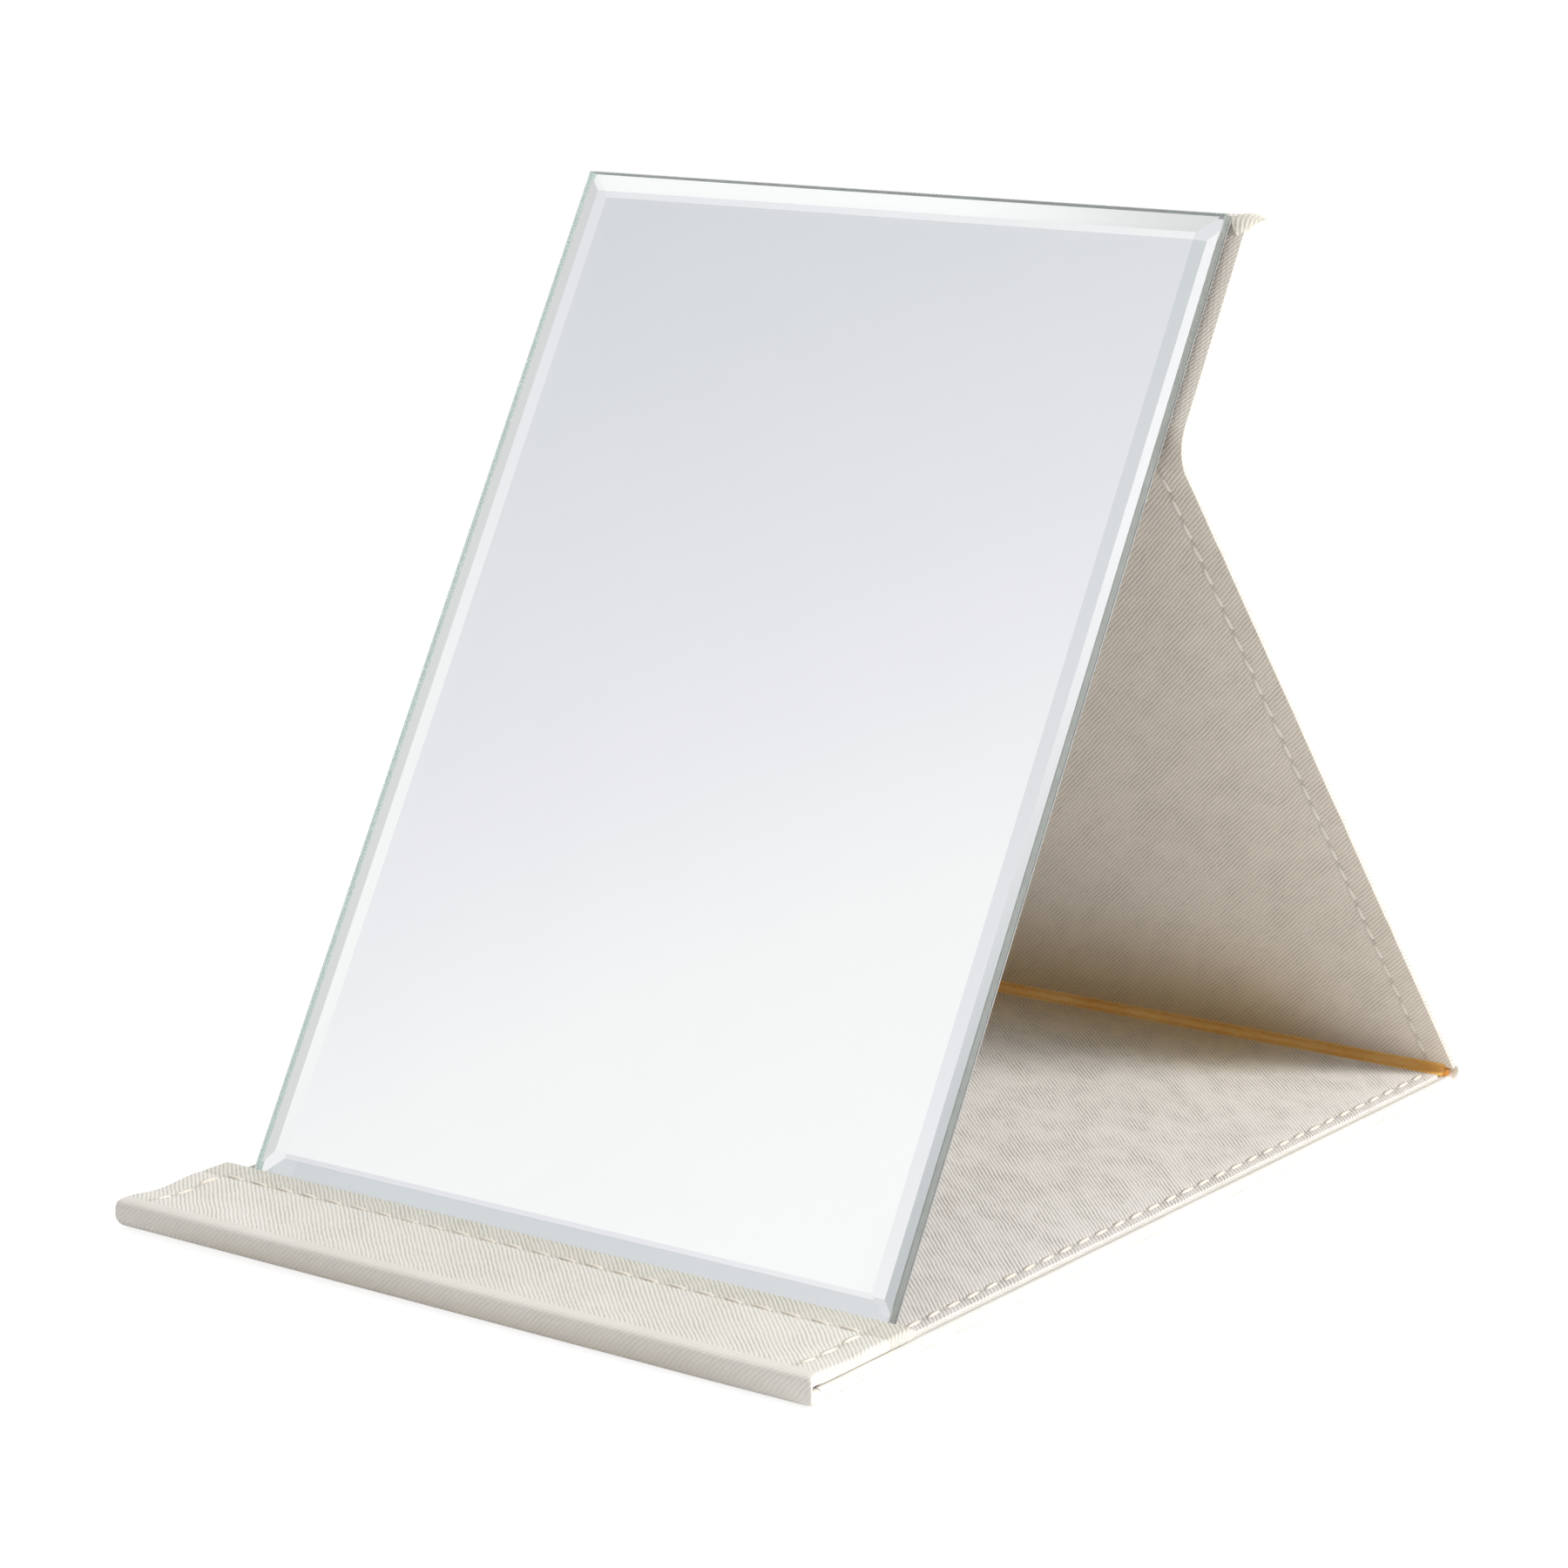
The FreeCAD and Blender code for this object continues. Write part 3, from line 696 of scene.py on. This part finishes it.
def faded_ends(y, reach):
    """A share for each station along a panel: 1, and falling to 0 at both ends."""
    return (smooth((y - y[0]) / reach) * smooth((y[-1] - y) / reach))[:, None]


def ride_skin(node, body, cloth, slot, panel, y, profile, outer, inner):
    """A panel's cover or lining, which stands for a CAD node and rides on a body."""
    x, height, way = profile
    points = in_place(loft(outer, inner, x, height, width_share(panel, y)), panel)
    piece = skin(node + "_skin", points, way, y, on_lining=slot == "lining")
    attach(dress(piece, cloth, slot, node), body)


def panel_cover(node, body, cloth, panel, y, outer_face, end=None):
    """A panel's wrapped board: a rounded section carried along y.

    Its outer face is slightly uneven and drawn in at the seams.
    """
    profile = cover_section(panel.seam)
    x = profile[0]
    sunk = 0.12 * MM * ripple(x[None, :], y[:, None])
    sunk = (sunk + seam_dent(x, panel)) * faded_ends(y, 9 * MM)
    outer = face_grid(y, outer_face(x[None, :], y[:, None]) + sunk)
    inner = face_grid(y, np.broadcast_to(raised_rim(x, panel)[None, :], sunk.shape))
    if end is not None:
        outer, inner = rounded_end(outer, inner, y, end, COVER_ROUND)
    ride_skin(node, body, cloth, "cover", panel, y, profile, outer, inner)


def panel_lining(node, body, cloth, panel, y, creases=(), end=None):
    """A panel's lining: a thin sheet carried along y, with soft creases across it."""
    profile = lining_section(panel.lining, panel.seam)
    x = profile[0]
    sunk = 0.13 * MM * ripple(x[None, :] + 0.2, y[:, None])
    for place, slope, depth, width in creases:
        bow = slope * x + 1.5 * MM * np.sin(40.0 * x + place * 900.0)
        sunk = sunk + depth * np.exp(-(((y[:, None] - place - bow[None, :]) / width) ** 2))
    sunk = (sunk + seam_dent(x, panel)) * faded_ends(y, 7 * MM)
    inner = face_grid(y, LINING_FACE - sunk)
    outer = face_grid(y, np.full(sunk.shape, LINING_BED))
    if end is not None:
        outer, inner = rounded_end(outer, inner, y, end, LINING_ROUND)
    ride_skin(node, body, cloth, "lining", panel, y, profile, outer, inner)


def level_face(height):
    """A face that has one height at every x and y."""
    return lambda x, y: height + 0.0 * x * y


cover_face = level_face(COVER_FACE)
lining_face = level_face(LINING_FACE)
NOSE_HEIGHT = 6.0 * MM


def flap_face(x, y):
    """The flap's cover face: level with the nose in front, dished behind it, full before the free edge.

    The dish is deepest at the left end and half as deep at the right end. The cross seam draws it in.
    """
    behind = -y / MM
    dip = 0.8 * smooth(behind / 9.0) - 0.6 * smooth((behind - 10.0) / 9.0)
    dip = dip + 0.15 * smooth((behind - 19.0) / 10.0)
    share = 0.75 - 0.25 * x / HALF_WIDTH
    drawn_in = 0.14 * np.exp(-(((y - FLAP_SEAM_END) / (0.9 * MM)) ** 2))
    return FLAP.origin_z - NOSE_HEIGHT + (dip * share + drawn_in) * MM


def flap_core():
    """The flap's board: a flat section carried along y, hollowed 0.4 mm under the cover's face."""
    x, height, way = section(84.2 * MM, 0.8 * MM, 0.2 * MM, (BASE_SEAM,))
    y = stations(FLAP_EDGE + 0.8 * MM, -4.0 * MM, 1.6 * MM)
    top = np.maximum(flap_face(x[None, :], y[:, None]) + 0.4 * MM, -0.9 * MM)
    points = loft(face_grid(y, top), face_grid(y, np.full(top.shape, 0.9 * MM)), x, height)
    return skin("flap_core", in_place(points, FLAP), way, y)


base_y = stations(BASE.low, BASE.high, 2.6 * MM)
strut_y = stations(STRUT.low, STRUT.high, 2.6 * MM)
upper_y = stations(UPPER.low, UPPER.high, 2.0 * MM, round_end=COVER_ROUND)
flap_y = stations(FLAP.low, FLAP.high, 1.4 * MM, round_start=COVER_ROUND)
UPPER_LINING_END = UPPER_TOP - 0.9 * MM
FLAP_LINING_END = FLAP_EDGE + 2.3 * MM
upper_lining_y = stations(UPPER.low, UPPER_LINING_END, 2.0 * MM, round_end=LINING_ROUND)
flap_lining_y = stations(FLAP_LINING_END, FLAP.high, 2.0 * MM, round_start=LINING_ROUND)
STRUT_CREASES = [
    (52 * MM, 0.02, 0.10 * MM, 2.2 * MM),
    (88 * MM, -0.03, 0.13 * MM, 2.6 * MM),
    (121 * MM, 0.015, 0.10 * MM, 2.0 * MM),
    (164 * MM, 0.03, 0.12 * MM, 2.4 * MM),
]

panel_cover("base_cover", "base", base_cloth, BASE, base_y, cover_face)
panel_lining("base_lining", "base", base_lining_cloth, BASE, base_y)
panel_cover("strut_cover", "strut", strut_cloth, STRUT, strut_y, cover_face)
panel_lining("strut_lining", "strut", strut_lining_cloth, STRUT, strut_y, STRUT_CREASES)
panel_cover("upper_cover", "mirror", strut_cloth, UPPER, upper_y, cover_face, UPPER_TOP)
panel_lining("upper_lining", "mirror", upper_lining_cloth, UPPER, upper_lining_y, end=UPPER_LINING_END)
panel_cover("flap_cover", "flap", flap_cloth, FLAP, flap_y, flap_face, FLAP_EDGE)
panel_lining("flap_lining", "flap", base_cloth, FLAP, flap_lining_y, end=FLAP_LINING_END)


# Folds

SLOT_DEPTH = 2.5 * MM
SLOT_MIDDLE = 3.15 * MM
SLOT_HALF_HEIGHT = 0.45 * MM


def squared_arc(angle, power):
    """A half circle that a small power makes squarer: how far it reaches out and rises at an angle."""
    return np.abs(np.cos(angle)) ** power, np.sign(angle) * np.abs(np.sin(angle)) ** power


def front_nose():
    """The nose where the flap turns back: a superellipse outside and a thin slot inside.

    The outer line runs from the base's underside round the front to the flap's top. Its lower front
    corner is square at the right end and grows round towards the left end.
    """
    x, height, way = cover_section(BASE_SEAM)
    angle = np.linspace(-math.pi / 2, math.pi / 2, 41)[:, None]
    lower_round = np.interp(x, [-75 * MM, 60 * MM], [0.95, 0.40])[None, :]
    reach, rise = squared_arc(angle, np.where(angle < 0, lower_round, 0.5))
    half = NOSE_HEIGHT / 2
    outer = np.stack([NOSE_BACK - NOSE_DEPTH * reach, half + half * rise], axis=-1)
    reach, rise = squared_arc(angle, 0.3)
    slot = np.stack([NOSE_BACK - SLOT_DEPTH * reach, SLOT_MIDDLE + SLOT_HALF_HEIGHT * rise], axis=-1)
    points = loft(outer, np.broadcast_to(slot, outer.shape), x, height)
    return skin("front_fold_skin", points, way, path_length(outer[:, x.size // 4, :]))


front_fold = dress(front_nose(), nose_cloth, "cover", "front_fold_cover", "front_fold_lining")
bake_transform(front_fold)


def rear_arc(radius, angle):
    """Points on the rear bend at a radius, by the angle from straight down through the rear."""
    y = REAR_CENTRE[0] + radius * np.sin(angle)
    return np.stack([y, REAR_CENTRE[1] - radius * np.cos(angle)], axis=-1)


REAR_ANGLES = np.linspace(0.0, REAR_TURN, 47)
REAR_CREASE = np.sin(math.pi * REAR_ANGLES / REAR_TURN) ** 0.8


def rear_fold():
    """The rear bend of the cover: round outside, and inside a crease that is deepest half way."""
    x, height, way = cover_section(BASE_SEAM)
    inner = rear_arc((1.2 + 1.7 * REAR_CREASE) * MM, REAR_ANGLES)
    points = loft(rear_arc(REAR_OUTER, REAR_ANGLES), inner, x, height)
    return skin("rear_fold_skin", points, way, REAR_OUTER * REAR_ANGLES)


STRIP_HALF_WIDTH = 82.8 * MM
STRIP_ROUND = 1.1 * MM
STRIP_THICKNESS = 0.2 * MM


def line_on(panel, y, z):
    """A line of points along a panel at heights z, as Y and Z in the standing pose."""
    return in_place(np.stack(np.broadcast_arrays(0.0, y, z), axis=-1), panel)[:, 1:]


def rear_strip():
    """The tan strip in the rear crease: a band that rounds out the crease and laps both linings.

    Its face is a circle that touches both linings, and its bed follows the crease of the cover.
    """
    corner = BASE_LENGTH - LINING_FACE / math.tan(STRUT_ANGLE / 2)
    reach = STRIP_ROUND / math.tan(STRUT_ANGLE / 2)
    centre_y, centre_z = FRONT + corner - reach, BASE.origin_z + LINING_FACE + STRIP_ROUND
    radius = STRIP_ROUND - STRIP_THICKNESS
    face_y = centre_y + radius * np.sin(REAR_ANGLES)
    face_z = centre_z - radius * np.cos(REAR_ANGLES)
    face = np.stack([face_y, face_z], axis=-1)
    crease = rear_arc((1.22 + 1.6 * REAR_CREASE) * MM, REAR_ANGLES)
    lap = corner - reach - np.array([0.8, 0.7, 0.4]) * MM
    lap_top = LINING_FACE + np.array([0.02, 0.12, 0.19]) * MM
    lap_bed = LINING_FACE - STRIP_THICKNESS
    far_lap = BASE_LENGTH - lap
    top = np.concatenate([line_on(BASE, lap, lap_top), face, line_on(STRUT, far_lap, lap_top)[::-1]])
    bed = np.concatenate([line_on(BASE, lap, lap_bed), crease, line_on(STRUT, far_lap, lap_bed)[::-1]])
    x, height, way = section(STRIP_HALF_WIDTH, 0.3 * MM, 0.14 * MM, (BASE_SEAM,))
    points = loft(bed, top, x, height)
    tip = np.abs(x) > STRIP_HALF_WIDTH - 0.3 * MM
    fray = 0.3 * MM * np.sin(1.7 * np.arange(len(top)))[:, None] * tip[None, :]
    points[..., 0] += np.sign(x)[None, :] * fray
    return skin("rear_fold_strip", points, way, path_length(top), on_lining=True)


rear_skin = dress(rear_fold(), base_cloth, "cover", "rear_fold_cover")
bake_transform(rear_skin)
rear_band = dress(rear_strip(), tan_strip, "fold_strip", "rear_fold_lining")
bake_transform(rear_band)


def upper_bend_line(offset):
    """The upper fold's arc at an offset from the panels' middle, in the upper panel's frame.

    Its centre lies on the cover side, and it runs from the strut's end to the upper panel's start.
    """
    angle = np.linspace(UPPER_TURN, 0.0, 25)
    radius = UPPER_BEND + HALF_PANEL
    y = UPPER_SETBACK - (radius + offset) * np.sin(angle)
    return np.stack([y, (radius + offset) * np.cos(angle) - radius], axis=-1)


def upper_fold(name, profile, low, high, on_lining):
    """A cover or a lining over the upper fold: a section between two offsets from the middle."""
    x, height, way = profile
    outer, inner = upper_bend_line(low), upper_bend_line(high)
    points = in_place(loft(outer, inner, x, height, NARROW), UPPER)
    along = STRUT_END + path_length(inner if on_lining else outer)
    return skin(name, points, way, along, on_lining)


upper_skin = upper_fold("upper_fold_skin", cover_section(STRUT_SEAM), COVER_FACE, COVER_TOP, False)
upper_sheet = upper_fold("upper_fold_lining_skin", lining_section(FULL_LINING, STRUT_SEAM),
                         LINING_BED, LINING_FACE, True)
dress(upper_skin, strut_cloth, "cover", "upper_fold_cover")
dress(upper_sheet, strut_lining_cloth, "lining", "upper_fold_lining")
for bent in (upper_skin, upper_sheet):
    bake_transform(bent)


# Stitches

STITCH_PITCH = 6.4 * MM
STITCH_LENGTH = 5.4 * MM
THREAD_HALF_WIDTH = 0.6 * MM
THREAD_HALF_HEIGHT = 0.3 * MM
STITCH_STATIONS = 9
THREAD_SIDES = 6


def stitch_row(start, end, face, side, lift):
    """A row of stitches between two points of a panel, standing out of a face to one side by a lift.

    Each stitch is a short flattened tube, slightly slanted, whose ends dive into the cloth. Gives
    points by stitch, station and side of the thread.
    """
    start, end = np.array(start), np.array(end)
    length = np.linalg.norm(end - start)
    count = int(length / STITCH_PITCH)
    along = (end - start) / length
    number = np.arange(count)
    centre = start + (number[:, None] + 0.5) * length / count * along
    slant = (math.radians(5.0) + math.radians(2.5) * np.sin(2.4 * number))[:, None, None]
    t = np.linspace(-1.0, 1.0, STITCH_STATIONS)
    turn = side * (np.arange(THREAD_SIDES) + 0.5) * 2.0 * math.pi / THREAD_SIDES
    swell = np.sqrt(1.0 - 0.75 * t ** 2)[:, None]
    reach = np.broadcast_to((t * STITCH_LENGTH / 2)[:, None], (STITCH_STATIONS, THREAD_SIDES))[None]
    wide = (THREAD_HALF_WIDTH * swell * np.cos(turn)[None, :])[None]
    a = reach * np.cos(slant) - wide * np.sin(slant)
    b = reach * np.sin(slant) + wide * np.cos(slant)
    sideways = np.array([-along[1], along[0]])
    flat = centre[:, None, None, :] + a[..., None] * along + b[..., None] * sideways
    rise = side * THREAD_HALF_HEIGHT * swell * np.sin(turn)[None, :]
    rise = rise + (lift - THREAD_HALF_HEIGHT - 0.5 * MM * t ** 4)[:, None]
    depth = face(centre[:, 0], centre[:, 1])[:, None, None] + side * rise[None]
    return np.concatenate([flat, depth[..., None]], axis=-1)


def stitches(name, panel, rows):
    """One piece with all the stitches of a panel, the thread's weave running along each stitch."""
    points = np.concatenate([stitch_row(*row) for row in rows])
    count = len(points)
    faces, rows_of, columns_of = grid_faces(STITCH_STATIONS, THREAD_SIDES)
    shift = (np.arange(count) * STITCH_STATIONS * THREAD_SIDES)[:, None, None]
    faces = (faces[None] + shift).reshape(-1, 4)
    way = np.linspace(-STITCH_LENGTH / 2, STITCH_LENGTH / 2, STITCH_STATIONS)
    weave = np.stack([way[rows_of], columns_of * 0.3 * MM], axis=-1)
    weave = np.broadcast_to(weave, (count,) + weave.shape).reshape(-1, 4, 2)
    return make_mesh(name, in_place(points, panel).reshape(-1, 3), faces, weave, 80.0)


def side_rows(panel, low, high, *places):
    """Rows along both sides of a panel, on its seam lines, at one place of its layers or more."""
    near, far = panel.seam * width_share(panel, low), panel.seam * width_share(panel, high)
    return [((end * near, low), (end * far, high), *place) for place in places for end in (-1, 1)]


def cross_row(half_width, y, place):
    """A row across a panel, as far as its side seams."""
    return [((-half_width, y), (half_width, y), *place)]


# Places of stitches: the face, the side of it that they stand on, and how far they stand out
ON_LINING = (lining_face, 1, 0.16 * MM)
ON_COVER = (cover_face, -1, 0.18 * MM)
ON_UNDERSIDE = (cover_face, -1, 0.02 * MM)
ON_FLAP = (flap_face, -1, 0.18 * MM)
ON_FLAP_EDGE = (flap_face, -1, 0.36 * MM)
INSIDE_FLAP = (lining_face, 1, 0.06 * MM)

UPPER_SEAM_END = UPPER_TOP - 7.5 * MM
base_rows = side_rows(BASE, BASE.low + 2 * MM, BASE.high - 2 * MM, ON_LINING, ON_UNDERSIDE)
strut_rows = side_rows(STRUT, STRUT.low + 3 * MM, STRUT.high, ON_LINING, ON_COVER)
upper_rows = side_rows(UPPER, UPPER.low, UPPER_SEAM_END, ON_COVER)
upper_rows += cross_row(STRUT_SEAM * NARROW, UPPER_SEAM_END, ON_COVER)
flap_rows = side_rows(FLAP, FLAP_SEAM_END + 0.5 * MM, -0.5 * MM, ON_FLAP)
flap_rows += cross_row(BASE_SEAM, FLAP_SEAM_END, ON_FLAP_EDGE)
flap_rows += side_rows(FLAP, FLAP_SEAM_END, -3 * MM, INSIDE_FLAP)

SEWN = [
    ("base_stitches", BASE, base_rows, "base_seam", "base"),
    ("strut_stitches", STRUT, strut_rows, "strut_seam", "strut"),
    ("upper_stitches", UPPER, upper_rows, "upper_seam", "mirror"),
    ("flap_stitches", FLAP, flap_rows, "flap_seam", "flap"),
]
for piece_name, sewn_panel, rows, node_name, body in SEWN:
    sewn = dress(stitches(piece_name, sewn_panel, rows), pale_thread, "thread", node_name)
    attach(sewn, body)


# Mirror

GLASS_HALF_WIDTH = 78.5 * MM
GLASS_FOOT = -176.5 * MM
GLASS_TOP = 48.0 * MM
SILVER_FACE = 3.15 * MM
ARRIS_FACE = 5.3 * MM
FRONT_FACE = 6.3 * MM
BEVEL_WIDTH = 4.8 * MM


def mirror_plate():
    """The bevelled glass: a profile of inset and height carried round a rectangle, closed at both ends.

    From the back: silvered face, ground edge with a fine chamfer at each side, polished bevel, front.
    """
    chamfer = 0.2 * MM
    inset_by = np.array([chamfer, 0.0, 0.0, chamfer, BEVEL_WIDTH])
    level = np.array([SILVER_FACE, SILVER_FACE + chamfer, ARRIS_FACE - chamfer, ARRIS_FACE, FRONT_FACE])
    low, high = GLASS_FOOT + inset_by, GLASS_TOP - inset_by
    wide = GLASS_HALF_WIDTH - inset_by
    corners = ((-1, low), (1, low), (1, high), (-1, high))
    points = np.stack([np.stack([side * wide, y, level], axis=-1) for side, y in corners], axis=1)
    rows, count = points.shape[:2]
    faces, rows_of, columns_of = grid_faces(rows, count)
    weave = np.stack([columns_of * 0.1, rows_of * 0.01], axis=-1)
    item = make_mesh("mirror_plate", in_place(points, UPPER).reshape(-1, 3), faces, weave, 1.0)
    for material in (clear_glass, silvered_back, ground_side, ground_end):
        item.data.materials.append(material)
    clear, silver, side_edge, end_edge = range(4)
    ground = np.tile([end_edge, side_edge, end_edge, side_edge], 3)
    finish = np.concatenate([ground, np.full(count, clear), [silver, clear]])
    item.data.polygons.foreach_set("material_index", finish.astype(np.int32))
    item.data.polygons.foreach_set("use_smooth", np.zeros(len(faces), bool))
    return item


mirror = mirror_plate()
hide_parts("mirror_glass", "mirror_silvering")
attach(mirror, "mirror")


# Folded ear of cloth at the upper panel's right corner

EAR_SIDES = 12


def corner_ear():
    """A folded ear of cloth: a flattened tube along a bowed path, which narrows to a point."""
    t = np.linspace(0.0, 1.0, 17)
    x = 78.7 + 6.3 * t
    y = 46.9 + 2.4 * np.sin(1.7 * t)
    path = np.stack([x, y, 0.7 + 0.35 * np.sin(2.6 * t)], axis=-1) * MM
    taper = np.sqrt(np.clip(1.0 - t ** 2, 0.004, 1.0))
    wide = (3.0 - 2.3 * t) * taper * MM
    thick = (1.15 - 0.6 * t) * taper * MM
    tangent = np.gradient(path, axis=0)
    tangent = tangent / np.linalg.norm(tangent, axis=1)[:, None]
    side = np.cross(tangent, np.array([0.0, 0.0, 1.0]))
    side = side / np.linalg.norm(side, axis=1)[:, None]
    up = np.cross(side, tangent)
    turn = (np.arange(EAR_SIDES) + 0.5) * 2.0 * math.pi / EAR_SIDES
    ring = side[:, None, :] * (wide[:, None] * np.cos(turn))[..., None]
    ring = ring + up[:, None, :] * (thick[:, None] * np.sin(turn))[..., None]
    points = in_place(path[:, None, :] + ring, UPPER)
    return skin("corner_ear", points, np.linspace(0.0, 6.0 * MM, EAR_SIDES + 1), path_length(path))


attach(dress(corner_ear(), ear_cloth, "cover"), "mirror")


# CAD nodes that stay

board = speckled_material(
    "grey_board", (0.36, 0.34, 0.30, 1), (0.22, 0.205, 0.18, 1), 0.85, 900.0, 0.2 * MM)
film = speckled_material(
    "grey_film", (0.33, 0.335, 0.335, 1), (0.26, 0.265, 0.27, 1), 0.5, 700.0, 0.05 * MM)
tape = speckled_material(
    "mounting_tape", (0.82, 0.82, 0.78, 1), (0.66, 0.66, 0.62, 1), 0.6, 500.0, 0.1 * MM)
nickel = speckled_material(
    "nickel_plate", (0.66, 0.64, 0.60, 1), (0.5, 0.49, 0.46, 1), 0.24, 800.0, 0.01 * MM, metallic=1.0)
steel = speckled_material(
    "brushed_plate", (0.45, 0.45, 0.45, 1), (0.28, 0.28, 0.28, 1), 0.35, 1200.0, 0.02 * MM,
    metallic=1.0, stretch=(0.05, 1, 1))
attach(dress(flap_core(), board, "board", "flap_board"), "flap")
KEPT = {
    "base_board": board, "strut_board": board, "upper_board": board,
    "mirror_backing": film, "mirror_tape": tape, "flap_magnets": nickel, "keeper_plates": steel,
}
for node_name, finish in KEPT.items():
    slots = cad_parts[node_name].data.materials
    slots.clear()
    slots.append(finish)


# Floor, light and camera

FLOOR_REACH = 60.0
FLOOR_LEVEL = -0.3 * MM
FLOOR_GLOW = 1.28
FLOOR_GLOW_SHARE = 0.65


def floor():
    """A wide pale floor: a square sheet that the object's shadow falls on faintly."""
    points = FLOOR_REACH * np.array([[-1, -1, 0], [1, -1, 0], [1, 1, 0], [-1, 1, 0]])
    mesh = bpy.data.meshes.new("floor")
    mesh.from_pydata(points.tolist(), [], [(0, 1, 2, 3)])
    item = add_object("floor", mesh, (0, 0, FLOOR_LEVEL))
    material = bpy.data.materials.new("pale_floor")
    material.use_nodes = True
    tree = material.node_tree
    tree.nodes.clear()
    diffuse = add_node(tree, "BsdfDiffuse", Color=(0.95, 0.95, 0.95, 1))
    glow = add_node(tree, "Emission", Strength=FLOOR_GLOW)
    rays = add_node(tree, "LightPath").outputs
    seen = maths(tree, "MAXIMUM", rays["Is Camera Ray"], rays["Is Glossy Ray"])
    seen = maths(tree, "MAXIMUM", seen, rays["Is Transmission Ray"])
    lit = mixed_shader(tree, maths(tree, "MULTIPLY", seen, FLOOR_GLOW_SHARE), diffuse, glow)
    add_node(tree, "OutputMaterial", Surface=lit.outputs[0])
    mesh.materials.append(material)


# The reflected wall: its colours by the forward part of the direction, and bearings to the left at
# which it ends and the second wall begins
REFLECTED = [
    (0.0, (0.60, 0.625, 0.64, 1)),
    (0.44, (0.655, 0.685, 0.705, 1)),
    (0.51, (0.75, 0.762, 0.795, 1)),
    (0.565, (0.85, 0.845, 0.885, 1)),
    (0.61, (0.95, 0.95, 0.955, 1)),
    (0.67, (1.0, 1.0, 1.0, 1)),
]
WALL_END = (math.radians(35.5), math.radians(39.5))
SECOND_WALL = (math.radians(61.0), math.radians(70.0))


def studio():
    """Even white surroundings: plain fill light, and for reflections a white wall in front.

    The reflected wall darkens away from the front, by the part of the direction that points forwards.
    It ends softly at its right side, and a second white wall stands at the left.
    """
    world = bpy.data.worlds.new("studio")
    bpy.context.scene.world = world
    world.use_nodes = True
    tree = world.node_tree
    tree.nodes.clear()
    parts = split(tree, add_node(tree, "TexCoord").outputs["Generated"])
    forwards = maths(tree, "MULTIPLY", parts["Y"], -1.0)
    leftwards = maths(tree, "MULTIPLY", parts["X"], -1.0)
    bearing = maths(tree, "ARCTAN2", leftwards, forwards)
    ending = between(tree, bearing, *WALL_END, 0.35, 0.0)
    second_wall = between(tree, bearing, *SECOND_WALL)
    ramp = add_node(tree, "ValToRGB", Fac=forwards)
    elements = ramp.color_ramp.elements
    while len(elements) < len(REFLECTED):
        elements.new(0.5)
    for element, (position, colour) in zip(elements, REFLECTED):
        element.position = position
        element.color = colour
    rays = add_node(tree, "LightPath").outputs
    mirrored = maths(tree, "MAXIMUM", rays["Is Glossy Ray"], rays["Is Transmission Ray"])
    fill = add_node(tree, "Background", Color=(1.0, 0.99, 0.975, 1),
                    Strength=between(tree, parts["Z"], -0.1, 0.9, 0.43, 0.62))
    seen_wall = mixed(tree, ending, ramp.outputs["Color"], (0.12, 0.125, 0.13, 1))
    seen_wall = mixed(tree, second_wall, seen_wall, (1.2, 1.2, 1.22, 1))
    wall = add_node(tree, "Background", Color=seen_wall)
    white = add_node(tree, "Background", Color=(1, 1, 1, 1))
    reflected = mixed_shader(tree, mirrored, fill, wall)
    seen = mixed_shader(tree, rays["Is Camera Ray"], reflected, white)
    add_node(tree, "OutputWorld", Surface=seen.outputs[0])


def key_light():
    """One broad soft lamp at the right, a little behind, about 33 degrees up."""
    lamp = bpy.data.lights.new("key", "AREA")
    lamp.shape = "DISK"
    lamp.size = 0.45
    lamp.energy = 20.0
    lamp.color = (1.0, 0.985, 0.955)
    add_object("key", lamp, (1.24, 0.157, 0.83), (56.4, 0.0, 97.2))


def camera():
    """The camera at the photograph's place, looking down by about 13 degrees from the front right."""
    data = bpy.data.cameras.new("camera")
    data.lens = 102.28
    data.sensor_width = 36.0
    data.clip_start = 0.01
    data.clip_end = 200.0
    place = (517.64 * MM, -725.53 * MM, 283.4 * MM)
    bpy.context.scene.camera = add_object("camera", data, place, (90.0 - 12.905, 0.0, 36.023))


floor()
studio()
key_light()
camera()
bpy.context.scene.view_settings.view_transform = "Standard"
